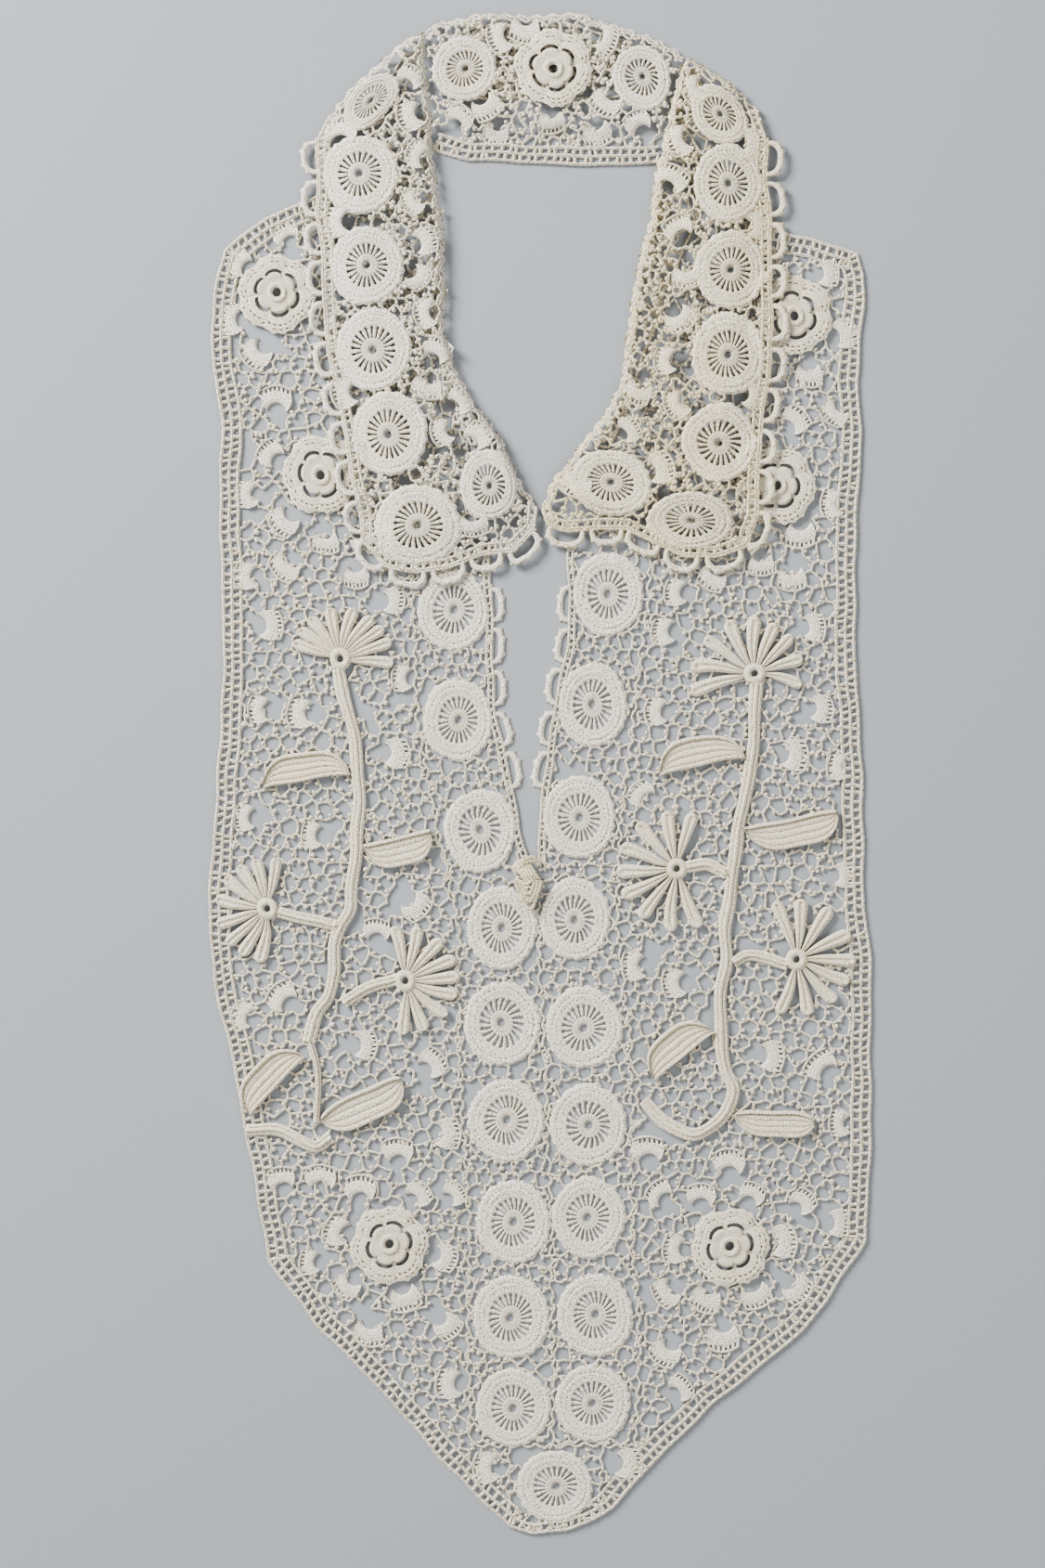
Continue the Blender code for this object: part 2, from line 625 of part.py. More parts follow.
def rose_lift(x, y, roses):
    """How high a layer that passes over roses has to lie."""
    lift = 0.0
    for rose_x, rose_y, radius in roses:
        away = math.hypot(x - rose_x, y - rose_y)
        crown = MOTIF_BASE + 1.2 + 2.0 + 0.6
        petals_top = MOTIF_BASE + 1.2 + 1.2 + 0.5
        over = crown + (petals_top - crown) * ramp(away, radius * 0.35, radius * 0.7)
        lift = max(lift, over * (1 - ramp(away, radius + 2, radius + 14)))
    return lift


def over_roses(x, y):
    """Height of the loops along the falls: clear of the net, and over any rose."""
    return max(FREE_LIFT, rose_lift(x, y, ROSES_LEFT + ROSES_RIGHT))


class Fall:
    """Heights of a folded layer: turned down round its fold, and lying free at its other edges."""

    def __init__(self, fold, free, creases, roses):
        self.fold = fold
        self.free = [fold[-1]] + free + [fold[0]]
        self.creases = creases
        self.roses = roses

    def under(self, x, y):
        lift = FREE_LIFT + (FALL_LIFT - FREE_LIFT) * ramp(line_distance(x, y, self.free), 0, 20)
        for ax, ay, bx, by, rise, spread in self.creases:
            lift += rise * (1 - ramp(distance(x, y, (ax, ay, bx, by))[0], 0, spread))
        return max(lift, rose_lift(x, y, self.roses))

    def bottom(self, x, y):
        depth = max(0.0, line_distance(x, y, self.fold) - FALL_THICK)
        share = min(1.0, depth / (FOLD_RADIUS - FALL_THICK))
        return self.under(x, y) * math.sqrt(1 - (1 - share) ** 2)

    def top(self, x, y):
        share = min(1.0, line_distance(x, y, self.fold) / FOLD_RADIUS)
        return FALL_THICK + self.under(x, y) * math.sqrt(1 - (1 - share) ** 2)


class Back(Fall):
    """Heights of the back of the collar: on the surface at its foot, and over the fall behind it."""

    def under(self, x, y):
        return BACK_LIFT * ramp(y, *BACK_STEP)


def fold_spots(fold, depths, way):
    """Points inside a folded edge, a row for each depth, that carry its round section."""
    line = []
    for ax, ay, bx, by in stretches(fold):
        parts = max(1, round(math.hypot(bx - ax, by - ay) / 9))
        line += [(ax + (bx - ax) * i / parts, ay + (by - ay) * i / parts) for i in range(parts)]
    line.append(fold[-1])
    spots = []
    for depth in depths:
        for x, y in offset(line, way * depth)[1:-1]:
            if line_distance(x, y, fold) > 0.9 * depth:
                spots.append((x, y, 0.0))
    return spots


def stand(name, outline, height, colour):
    """Hidden layers of a fold as one rounded solid, with a thin layer showing at its edge."""
    edge = outline + outline[:1]
    spots = []
    for i in STAND_COLUMNS:
        for j in STAND_ROWS:
            x, y = i * STAND_GRID, j * STAND_GRID
            in_from_edge = line_distance(x, y, edge)
            if inside(x, y, outline) and in_from_edge > STAND_EDGE:
                spots.append((x, y, (height - STAND_RIM) * ramp(in_from_edge, 0, STAND_SHOULDER)))
    return wall(name, outline, level(STAND_RIM), level(0.0), colour, spots=spots)


def loop_strip(name, line, way, depth, colour, height):
    """A row of picot loops worked along an edge: a narrow strip with open loops standing out of it."""
    lengths = [math.hypot(bx - ax, by - ay) for ax, ay, bx, by in stretches(line)]
    count = round(sum(lengths) / LOOP_LENGTH)
    step = sum(lengths) / count

    def place(along, out):
        for (ax, ay, bx, by), length in zip(stretches(line), lengths):
            if along <= length or (bx, by) == tuple(line[-1]):
                ux, uy = (bx - ax) / length, (by - ay) / length
                return (ax + ux * along - uy * out * way, ay + uy * along + ux * out * way)
            along -= length

    outer, holes = [], []
    base = offset(line, way * SEAM * 1.5)
    for i in range(count):
        start = i * step
        outer.append(place(start + 0.02 * step, LOOP_STRIP))
        for share, out in ((0.14, 0.75), (0.34, 1.0), (0.66, 1.0), (0.86, 0.75)):
            outer.append(place(start + share * step, depth * out))
        outer.append(place(start + 0.98 * step, LOOP_STRIP))
        hole = [place(start + 0.22 * step, LOOP_STRIP + 0.2), place(start + 0.78 * step, LOOP_STRIP + 0.2)]
        hole += [place(start + share * step, depth - LOOP_BAR) for share in (0.66, 0.34)]
        holes.append(hole)
    outline = base + outer[::-1]
    return wall(name, outline, lambda x, y: height(x, y) + LOOP_THICK, height, colour, holes=holes)


def knot(name, x, y, half_wide, half_long, half_high):
    bm = bmesh.new()
    bmesh.ops.create_uvsphere(bm, u_segments=12, v_segments=7, radius=1.0)
    base = NET_THICK + WHEEL_RISE + SEAM
    sunk = 0.55
    for v in bm.verts:
        rise = (max(v.co.z, -sunk) + sunk) * half_high * 0.7
        v.co = Vector((x + v.co.x * half_wide, y + v.co.y * half_long, base + rise)) * MM
    bmesh.ops.triangulate(bm, faces=bm.faces)
    return add(name, bm, TONED)


def build():
    for obj in list(bpy.data.objects):
        bpy.data.objects.remove(obj, do_unlink=True)

    spray = spray_room()
    roses = ROSES_LEFT + ROSES_RIGHT
    fall_left = Fall(FALL_FOLD_LEFT, FALL_FREE_LEFT, CREASES_LEFT, roses)
    fall_right = Fall(FALL_FOLD_RIGHT, FALL_FREE_RIGHT, CREASES_RIGHT, roses)

    # Regions of lace in the plan, each with its solid borders and its wheels.
    net_left = PANEL_LEFT + [(-14.3, -305.3)] + shifted(BAND_SIDE_LEFT, -SEAM)[:0:-1]
    net_left += [(-60.3, 104.3), (-23.5, 104.3), (-23.5, 125)]
    net_right = PANEL_RIGHT + [(28.3, -305.3)] + shifted(BAND_SIDE_RIGHT, SEAM)[:0:-1]
    net_right += [(49.3, 104.3), (24, 104.3), (24, 125)]
    band_left = BAND_SIDE_LEFT + shifted(CENTRE_SEAM, -SEAM / 2)[::-1] + SLIT_LEFT[::-1]
    band_right = BAND_SIDE_RIGHT + shifted(CENTRE_SEAM, SEAM / 2)[::-1] + SLIT_RIGHT[::-1]
    fall_loop_left = FALL_FOLD_LEFT + FALL_FREE_LEFT
    fall_loop_right = FALL_FOLD_RIGHT + FALL_FREE_RIGHT
    back_loop = BACK_TOP + BACK_REST

    # Ground hidden by the falls stays whole, and so does what lies under the loops along them.
    hidden = [(s, 9.0) for s in stretches(fall_left.free) + stretches(fall_right.free)]
    fold_room = FOLD_RADIUS + 1.0
    fans_left = [(x, y, FAN_RADIUS) for x, y in FANS_LEFT]
    fans_right = [(x, y, FAN_RADIUS) for x, y in FANS_RIGHT]
    rooms_left = disc_room(ROSES_LEFT, 0.4) + spray + disc_room(fans_left, 0.3) + hidden
    rooms_right = disc_room(ROSES_RIGHT, 0.4) + spray + disc_room(fans_right, 0.3) + hidden
    seam_left = net_left[len(PANEL_LEFT) - 1:] + net_left[:1]
    seam_right = net_right[len(PANEL_RIGHT) - 1:] + net_right[:1]
    point_seam = POINT_PANEL[-2:] + POINT_PANEL[:2]
    back_rest = BACK_TOP[-1:] + BACK_REST + BACK_TOP[:1]
    regions = {
        "net_left": (net_left, [(PANEL_LEFT, BORDER), (seam_left, 0.8)], rooms_left, 11),
        "net_right": (net_right, [(PANEL_RIGHT, BORDER), (seam_right, 0.8)], rooms_right, 12),
        "band_left": (band_left, [(band_left + band_left[:1], 0.8)], wheel_room(WHEELS_LEFT), 13),
        "band_right": (band_right, [(band_right + band_right[:1], 0.8)], wheel_room(WHEELS_RIGHT), 14),
        "point": (POINT_PANEL, [(POINT_PANEL[1:6], 4.0), (point_seam, 0.8)], wheel_room(POINT_WHEEL), 15),
        "fall_left": (fall_loop_left, [(FALL_FOLD_LEFT, fold_room), (fall_left.free, 2.4)],
                      wheel_room(FALL_WHEELS_LEFT), 16),
        "fall_right": (fall_loop_right, [(FALL_FOLD_RIGHT, fold_room), (fall_right.free, 2.4)],
                       wheel_room(FALL_WHEELS_RIGHT), 17),
        "back": (back_loop, [(BACK_TOP, fold_room), (back_rest, 1.8)], disc_room([BACK_ROSE], 0.4), 18),
    }
    found = []
    for key, (region, borders, motifs, seed) in regions.items():
        for size, loop in ground_cells(region, borders, motifs, seed):
            x = sum(p[0] for p in loop) / len(loop)
            y = sum(p[1] for p in loop) / len(loop)
            under_fall = inside(x, y, fall_loop_left) or inside(x, y, fall_loop_right)
            if not (key.startswith("net") and under_fall):
                found.append((size, key, loop))
    found.sort(key=lambda row: -row[0])
    gaps = {key: [loop for _, owner, loop in found[:CUT_GAPS] if owner == key] for key in regions}

    # Front panel: two nets, two bands of wheels and the wheel at the point, flat on the surface.
    flat_top, flat_bottom = level(NET_THICK), level(0.0)
    for name, region, key, (rings, spots) in (
        ("net_left", net_left, "net_left", fan_relief(FANS_LEFT)),
        ("net_right", net_right, "net_right", fan_relief(FANS_RIGHT)),
        ("wheel_band_left", band_left, "band_left", wheel_relief(WHEELS_LEFT)),
        ("wheel_band_right", band_right, "band_right", wheel_relief(WHEELS_RIGHT)),
        ("point_wheel", POINT_PANEL, "point", wheel_relief(POINT_WHEEL)),
    ):
        wall(name, region, flat_top, flat_bottom, IVORY, gaps[key], rings, spots=spots)

    # Raised motifs on the panel.
    for side, rows in (("left", ROSES_LEFT), ("right", ROSES_RIGHT)):
        for i, (x, y, radius) in enumerate(rows):
            rose(f"rose_{side}_{i + 1}", x, y, radius, level(MOTIF_BASE), CREAM)
    for row in FLOWERS:
        flower(row)
    for row in LEAVES:
        leaf(*row)
    for row in CORDS:
        cord(*row)
    knot("front_knot", *KNOT)

    # Collar: hidden stands, the two falls that lie on them, and the back of the neck.
    stand("stand_left", STAND_LEFT, STAND_HEIGHT, IVORY)
    stand("stand_right", STAND_RIGHT, STAND_HEIGHT, TONED)
    stand("back_fall_behind", BACK_BEHIND, BACK_HIDDEN, IVORY)
    for name, key, loop, shape, wheels, way, colour in (
        ("fall_left", "fall_left", fall_loop_left, fall_left, FALL_WHEELS_LEFT, 1, IVORY),
        ("fall_right", "fall_right", fall_loop_right, fall_right, FALL_WHEELS_RIGHT, -1, TONED),
    ):
        rings, spots = wheel_relief(wheels, 10)
        spots += fold_spots(shape.fold, (0.7, 2.6), way)
        under = [(x, y, 0.0) for x, y, _, _, _ in wheels]
        under += fold_spots(shape.fold, (FALL_THICK, 2.6, FOLD_RADIUS), way)
        wall(name, divided(loop, 12), shape.top, shape.bottom, colour, gaps[key], rings, (), spots, under)

    back = Back(BACK_TOP, BACK_REST, [], [])
    ridge = [(x, BACK_RIDGE, 0.0) for x in (-44, -26, 36, 54)]
    upper = ridge + fold_spots(BACK_TOP, (0.7, 2.4), 1)
    under = ridge + fold_spots(BACK_TOP, (FALL_THICK, 2.4), 1)
    edge = divided(back_loop, 12)
    wall("back_stand", edge, back.top, back.bottom, IVORY, gaps["back"], (), (), upper, under)
    rose("rose_back", *BACK_ROSE, level(BACK_LIFT + FALL_THICK + SEAM), CREAM)

    # Picot loops along the slit and along the free edges of the falls.
    for name, line, way in (
        ("slit_loops_left", SLIT_LOOPS_LEFT, 1),
        ("slit_loops_right", SLIT_LOOPS_RIGHT, -1),
    ):
        loop_strip(name, line, way, LOOP_DEPTH_SLIT, IVORY, flat_bottom)
    for name, line, way, colour in (
        ("fall_loops_left", fall_left.free[1:-1], -1, IVORY),
        ("fall_loops_right", fall_right.free[1:-1], 1, TONED),
    ):
        loop_strip(name, line, way, LOOP_DEPTH_COLLAR, colour, over_roses)


build()
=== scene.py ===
"""Looks of a crochet lace collar with a long front panel, laid flat.

X runs across the panel, Y from its point up to the back of the neck, and Z up off the surface.
Tables and shapes are in millimetres in that plan, as in the part's source, and the finished meshes
are in metres. The order is the maker's: motifs first, then the ground worked between them and its
border, then the turned-down collar.
"""

import math
import random

import bmesh
import bpy
import numpy as np
from mathutils import Matrix, Vector
from mathutils.geometry import delaunay_2d_cdt


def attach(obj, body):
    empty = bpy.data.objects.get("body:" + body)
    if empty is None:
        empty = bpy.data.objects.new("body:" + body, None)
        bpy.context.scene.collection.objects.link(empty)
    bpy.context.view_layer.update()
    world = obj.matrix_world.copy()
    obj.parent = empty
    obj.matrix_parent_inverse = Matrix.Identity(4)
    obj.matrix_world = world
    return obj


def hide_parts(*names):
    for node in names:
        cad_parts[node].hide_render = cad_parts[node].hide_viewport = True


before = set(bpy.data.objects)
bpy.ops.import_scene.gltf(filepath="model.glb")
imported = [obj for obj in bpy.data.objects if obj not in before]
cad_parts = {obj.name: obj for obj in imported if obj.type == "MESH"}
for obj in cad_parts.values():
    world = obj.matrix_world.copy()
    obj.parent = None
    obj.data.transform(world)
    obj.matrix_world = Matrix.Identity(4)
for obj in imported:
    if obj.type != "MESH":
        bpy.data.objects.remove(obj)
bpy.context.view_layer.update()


# Crochet cotton. Mercerised cotton thread worked close, matt with a faint sheen, ivory with age.
# Dense stitches lie in rows on each piece's own map in millimetres; loose chains are rougher and
# follow the object's coordinates.
WHEEL_STITCH = (1.0, 1.3)
CORD_STITCH = (0.75, 1.1)
CHAIN_LUMP = 0.75


def linear(hex_colour):
    """An sRGB hex colour as linear red, green, blue and alpha."""
    channels = []
    for i in (0, 2, 4):
        c = int(hex_colour[i:i + 2], 16) / 255
        channels.append(c / 12.92 if c <= 0.04045 else ((c + 0.055) / 1.055) ** 2.4)
    return (*channels, 1.0)


def add_node(tree, kind, values=(), links=(), **settings):
    """Adds a node, sets its inputs and options, and links outputs of other nodes to its inputs."""
    node = tree.nodes.new(kind)
    for name, value in settings.items():
        setattr(node, name, value)
    for name, value in dict(values).items():
        node.inputs[name].default_value = value
    for name, output in dict(links).items():
        tree.links.new(output, node.inputs[name])
    return node


def crochet_cotton(name, pale, deep, stain, stitch=None):
    """Cotton of one tone: pale on the stitches, darkened to the deep colour between them as painted shade, and
    stained in soft patches.

    stitch is the width and height of a close stitch in mm, and a loose chain has none.
    """
    material = bpy.data.materials.new(name)
    material.use_nodes = True
    tree = material.node_tree
    shader = tree.nodes["Principled BSDF"]
    place = add_node(tree, "ShaderNodeTexCoord")
    if stitch:
        stitch_map = add_node(tree, "ShaderNodeUVMap", uv_map="stitch")
        scaled = add_node(
            tree, "ShaderNodeMapping", {"Scale": (1 / stitch[0], 1 / stitch[1], 1)},
            {"Vector": stitch_map.outputs["UV"]})
        lumps = add_node(
            tree, "ShaderNodeTexVoronoi", {"Scale": 1.0, "Randomness": 0.45},
            {"Vector": scaled.outputs["Vector"]}, voronoi_dimensions="2D", feature="F1")
    else:
        lumps = add_node(
            tree, "ShaderNodeTexVoronoi", {"Scale": 1000 / CHAIN_LUMP, "Randomness": 0.8},
            {"Vector": place.outputs["Object"]}, feature="F1")
    fibres = add_node(
        tree, "ShaderNodeTexNoise", {"Scale": 2200.0, "Detail": 2.0, "Roughness": 0.6},
        {"Vector": place.outputs["Object"]})
    patches = add_node(
        tree, "ShaderNodeTexNoise", {"Scale": 22.0, "Detail": 3.0, "Roughness": 0.55},
        {"Vector": place.outputs["Object"]})
    # Painted shade: away from each lump's middle, in the hollows between stitches, the colour runs to the deep tone.
    crevice_shade_mask = add_node(
        tree, "ShaderNodeMapRange", {"From Min": 0.3, "From Max": 0.68, "To Min": 0.0, "To Max": 1.0},
        {"Value": lumps.outputs["Distance"]})
    stained = add_node(
        tree, "ShaderNodeMapRange", {"From Min": 0.52, "From Max": 0.74, "To Min": 0.0, "To Max": 0.55},
        {"Value": patches.outputs["Fac"]})
    tone = add_node(tree, "ShaderNodeMix", data_type="RGBA")
    tone.inputs[6].default_value = linear(pale)
    tone.inputs[7].default_value = linear(deep)
    tree.links.new(crevice_shade_mask.outputs["Result"], tone.inputs[0])
    aged = add_node(tree, "ShaderNodeMix", data_type="RGBA")
    aged.inputs[7].default_value = linear(stain)
    tree.links.new(stained.outputs["Result"], aged.inputs[0])
    tree.links.new(tone.outputs[2], aged.inputs[6])
    tree.links.new(aged.outputs[2], shader.inputs["Base Color"])
    rough = add_node(
        tree, "ShaderNodeMapRange", {"To Min": 0.74, "To Max": 0.95}, {"Value": fibres.outputs["Fac"]})
    tree.links.new(rough.outputs["Result"], shader.inputs["Roughness"])
    height = add_node(
        tree, "ShaderNodeMath", {}, {0: lumps.outputs["Distance"], 1: fibres.outputs["Fac"]},
        operation="SUBTRACT")
    bump = add_node(
        tree, "ShaderNodeBump", {"Strength": 0.9, "Distance": 0.0006 if stitch else 0.0004},
        {"Height": height.outputs[0]}, invert=True)
    tree.links.new(bump.outputs["Normal"], shader.inputs["Normal"])
    shader.inputs["Sheen Weight"].default_value = 0.12
    shader.inputs["Specular IOR Level"].default_value = 0.3
    return material


# Each cotton's second colour is painted shade, laid in the hollows between its stitches and chain lumps.
IVORY = [crochet_cotton("ivory_cotton_chain", "F1EADB", "9F9475", "D9CCAC"),
         crochet_cotton("ivory_cotton_stitches", "F0E9DA", "94896B", "D8CBAA", WHEEL_STITCH)]
CREAM = [crochet_cotton("cream_cotton_chain", "F0E6CF", "9F9068", "D9C8A0"),
         crochet_cotton("cream_cotton_stitches", "F0E7D1", "9A8B63", "DACAA4", CORD_STITCH)]
TONED = [crochet_cotton("yellowed_cotton_chain", "EDE3C8", "9B8B60", "D4C190"),
         crochet_cotton("yellowed_cotton_stitches", "EEE5CD", "97875D", "D5C394", WHEEL_STITCH)]


# Tools of the worker's hand: a flat patch of dense stitches, a chain, and a piece joined from many.
# A patch is a grid of stitches laid in the plan, raised into relief, and closed at its underside.
def patch(columns, rows, plan, rise, size, cut=None, base=0.0):
    """One patch of dense stitches. plan and rise take u, v and give x, y and the height, in mm.

    size is what the patch measures along and across its rows, and cut names the open cells.
    """
    bm = bmesh.new()
    bmesh.ops.create_grid(bm, x_segments=columns, y_segments=rows, size=1)
    stitch = bm.loops.layers.uv.new("stitch")
    lift = bm.verts.layers.float.new("lift")
    for face in bm.faces:
        for loop in face.loops:
            u, v = loop.vert.co.x / 2 + 0.5, loop.vert.co.y / 2 + 0.5
            loop[stitch].uv = (u * size[0], v * size[1])
    if cut:
        gaps = []
        for face in bm.faces:
            middle = face.calc_center_median()
            column = int((middle.x / 2 + 0.5) * columns)
            row = int((middle.y / 2 + 0.5) * rows)
            if cut(column, row):
                gaps.append(face)
        bmesh.ops.delete(bm, geom=gaps, context="FACES")
    for v in bm.verts:
        share_u, share_v = v.co.x / 2 + 0.5, v.co.y / 2 + 0.5
        x, y = plan(share_u, share_v)
        v[lift] = rise(share_u, share_v)
        v.co = (x, y, base)
    bmesh.ops.remove_doubles(bm, verts=bm.verts[:], dist=0.01)
    raised = bmesh.ops.extrude_face_region(bm, geom=bm.faces[:], use_keep_orig=True)
    for v in raised["geom"]:
        if isinstance(v, bmesh.types.BMVert):
            v.co.z = base + v[lift]
    bmesh.ops.recalc_face_normals(bm, faces=bm.faces[:])
    return shape_of(bm, 1)


def shape_of(bm, material):
    """A finished bmesh as arrays: corners, loops, loop counts, stitch map, and material."""
    mesh = bpy.data.meshes.new("stitches")
    bm.to_mesh(mesh)
    bm.free()
    count = len(mesh.vertices)
    co = np.zeros(count * 3)
    mesh.vertices.foreach_get("co", co)
    loops = np.zeros(len(mesh.loops), int)
    mesh.loops.foreach_get("vertex_index", loops)
    totals = np.zeros(len(mesh.polygons), int)
    mesh.polygons.foreach_get("loop_total", totals)
    uv = np.zeros(len(mesh.loops) * 2)
    if mesh.uv_layers:
        mesh.uv_layers[0].data.foreach_get("uv", uv)
    bpy.data.meshes.remove(mesh)
    return {"co": co.reshape(-1, 3), "loops": loops, "totals": totals, "uv": uv.reshape(-1, 2),
            "material": np.full(len(totals), material)}


def joined(shapes):
    """Several shapes as one."""
    starts = np.cumsum([0] + [len(s["co"]) for s in shapes])
    whole = {key: np.concatenate([s[key] for s in shapes]) for key in ("co", "totals", "uv", "material")}
    whole["loops"] = np.concatenate([s["loops"] + start for s, start in zip(shapes, starts)])
    return whole


def placed(shape, x, y, turn=0.0, wide=1.0, long=1.0, up=0.0, lean=0.0):
    """A copy of a shape, scaled, turned by degrees and moved in the plan."""
    co = shape["co"] * (wide, long, 1.0)
    c, s = math.cos(math.radians(turn)), math.sin(math.radians(turn))
    tipped = co[:, 2] + co[:, 0] * lean
    turned = np.stack([co[:, 0] * c - co[:, 1] * s + x, co[:, 0] * s + co[:, 1] * c + y, tipped + up], axis=1)
    return {**shape, "co": turned}


def chains(lines, sides=0):
    """Round chains of thread along lines of x, y, z, radius, as one closed shape."""
    curve = bpy.data.curves.new("chain", "CURVE")
    curve.dimensions = "3D"
    curve.bevel_depth = 1.0
    curve.bevel_resolution = sides
    curve.use_fill_caps = True
    for line in lines:
        spline = curve.splines.new("POLY")
        spline.points.add(len(line) - 1)
        for point, (x, y, z, radius) in zip(spline.points, line):
            point.co = (x, y, z, 1)
            point.radius = radius
    holder = bpy.data.objects.new("chain", curve)
    bpy.context.scene.collection.objects.link(holder)
    mesh = bpy.data.meshes.new_from_object(holder.evaluated_get(bpy.context.evaluated_depsgraph_get()))
    bpy.data.objects.remove(holder)
    bpy.data.curves.remove(curve)
    bm = bmesh.new()
    bm.from_mesh(mesh)
    bpy.data.meshes.remove(mesh)
    bmesh.ops.remove_doubles(bm, verts=bm.verts[:], dist=0.0004)
    return shape_of(bm, 0)


def uneven(co):
    """Points moved as hand work strays from its pattern, by up to about half a millimetre."""
    x, y, z = co[:, 0], co[:, 1], co[:, 2]
    stray_x = 0.30 * np.sin(x / 7.1 + 2.0 * np.sin(y / 11.3)) + 0.22 * np.sin(y / 4.3 + x / 9.7)
    stray_y = 0.30 * np.sin(y / 6.7 + 2.0 * np.sin(x / 12.1)) + 0.22 * np.sin(x / 4.1 - y / 8.9)
    return np.stack([x + stray_x, y + stray_y, z], axis=1)


def crocheted(name, shapes, cotton, surface=None):
    """The finished piece from its shapes, laid on the surface that it rests on."""
    whole = joined(shapes)
    co = whole["co"]
    if surface:
        co = co + np.stack([np.zeros(len(co)), np.zeros(len(co)), surface(co[:, 0], co[:, 1])], axis=1)
    co = uneven(co) / 1000
    mesh = bpy.data.meshes.new(name)
    mesh.vertices.add(len(co))
    mesh.vertices.foreach_set("co", co.ravel())
    mesh.loops.add(len(whole["loops"]))
    mesh.loops.foreach_set("vertex_index", whole["loops"])
    mesh.polygons.add(len(whole["totals"]))
    mesh.polygons.foreach_set("loop_start", np.concatenate([[0], np.cumsum(whole["totals"])[:-1]]))
    mesh.update(calc_edges=True)
    layer = mesh.uv_layers.new(name="stitch")
    layer.data.foreach_set("uv", whole["uv"].ravel())
    for material in cotton:
        mesh.materials.append(material)
    mesh.polygons.foreach_set("material_index", whole["material"].astype(np.int32))
    mesh.validate()
    mesh.shade_smooth()
    mesh.set_sharp_from_angle(angle=math.radians(62))
    piece = bpy.data.objects.new(name, mesh)
    bpy.context.scene.collection.objects.link(piece)
    return piece


def on_body(piece, slot, *nodes):
    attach(piece, "root")
    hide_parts(*nodes)
    return piece


# Crocheted wheels: a small ring, twenty or so long stitches with slots between, then three rounds
# of close stitches with a row of pinholes under each new round, and a softly uneven rim.
WHEEL_RADIUS = 17.5
WHEEL_RINGS = [
    (1.5, 0.5), (2.3, 1.4), (3.6, 1.5), (5.2, 1.15), (6.8, 0.85), (8.6, 0.85), (10.0, 0.95), (10.8, 1.45),
    (11.8, 1.25), (12.2, 1.2), (13.2, 1.75), (14.2, 1.3), (14.6, 1.2), (15.6, 1.75), (16.5, 1.5),
    (17.4, 0.8),
]
SLOT_FIRST, SLOT_LAST = 3, 5
PINHOLE_ROWS = (8, 11)
PINHOLE_PINCH = 0.2
SPOKE_HALF = 0.62
RIM_BUMPS = 22


def wheel(spokes, lean, seed):
    """A wheel 35 mm across with that many long stitches, leaning by lean radians."""
    columns = spokes * 4
    last = len(WHEEL_RINGS) - 1
    rng = random.Random(seed)
    strays = [[rng.uniform(-1, 1) for _ in range(columns)] for _ in range(3 * len(WHEEL_RINGS))]
    closed_up = [[rng.random() < 0.35 for _ in range(columns)] for _ in WHEEL_RINGS]

    def plan(u, v):
        column, ring = round(u * columns), round(v * last)
        stray_out, stray_round = strays[ring][column % columns], strays[ring + last][column % columns]
        radius, angle = WHEEL_RINGS[ring][0], 2 * math.pi * u
        if SLOT_FIRST < ring <= SLOT_LAST and column % 2 == 0:
            side = 1 if column % 4 == 2 else -1
            spoke = 2 * math.pi * (column - side) / columns
            angle = spoke + side * SPOKE_HALF * (0.75 + 0.2 * (ring - SLOT_FIRST)) / radius
        angle += lean * max(0.0, min(1.0, (WHEEL_RINGS[SLOT_LAST + 1][0] - radius) / 5))
        if ring > SLOT_FIRST:
            radius += 0.1 * stray_out
            angle += 0.08 * stray_round / radius
        for row in PINHOLE_ROWS:
            if ring in (row, row + 1):
                angle += PINHOLE_PINCH * (1 if (column + row) % 2 == 0 else -1) / radius
        if ring >= last - 1:
            radius += 0.32 * math.sin(RIM_BUMPS * angle) + 0.2 * stray_out
        return radius * math.cos(angle), radius * math.sin(angle)

    def rise(u, v):
        column, ring = round(u * columns), round(v * last)
        post = (0.13 if column % 2 else -0.13) + 0.09 * strays[ring + 2 * last][column % columns]
        height = WHEEL_RINGS[ring][1]
        if ring > SLOT_LAST + 1:
            return height + post
        if ring >= SLOT_FIRST:
            return height + (0.4 if column % 4 == 1 else 0.0)
        return height + 0.6 * post

    def cut(column, row):
        if SLOT_FIRST <= row <= SLOT_LAST:
            return column % 4 in (2, 3)
        return row in PINHOLE_ROWS and (column + row) % 2 == 0 and not closed_up[row][column]

    return patch(columns, last, plan, rise, (82, WHEEL_RADIUS), cut)


WHEELS = [wheel(22, 0.0, 1), wheel(20, 0.14, 2), wheel(23, -0.12, 3), wheel(21, 0.05, 4)]

# Wheels of the front panel and of the turned-down collar: x, y, half width, half height, turn.
WHEELS_LEFT = [
    (-39, 74, 16, 19, 0), (-37, 24, 16, 19, 0), (-27, -26, 16.5, 19, 0), (-17, -70, 16.2, 19, 0),
    (-17, -113, 17.6, 19, 0), (-15, -157, 17.6, 19, 0), (-12, -203, 16.8, 19, 0),
    (-13, -246, 17.6, 19, 0), (-12, -287, 17.2, 17.6, 0),
]
WHEELS_RIGHT = [
    (31, 81, 16, 19, 0), (24, 31, 16, 19, 0), (18, -20, 16.5, 19, 0), (16, -66, 16.2, 19, 0),
    (20, -115, 17.6, 19, 0), (22, -159, 17.6, 19, 0), (22, -201, 16.8, 19, 0),
    (25, -245, 17.6, 19, 0), (24, -285, 17.2, 18, 0),
]
POINT_WHEEL = [(7, -322.5, 17.2, 16.6, 0)]
FALL_WHEELS_LEFT = [
    (-76, 303, 9, 16, -45), (-81, 270, 17, 18, 0), (-78, 229, 17, 18, 0), (-75, 191, 17, 19, 0),
    (-68, 153, 17.5, 19, 0), (-55, 112, 20, 18, 0), (-23, 130, 13, 16, 0),
]
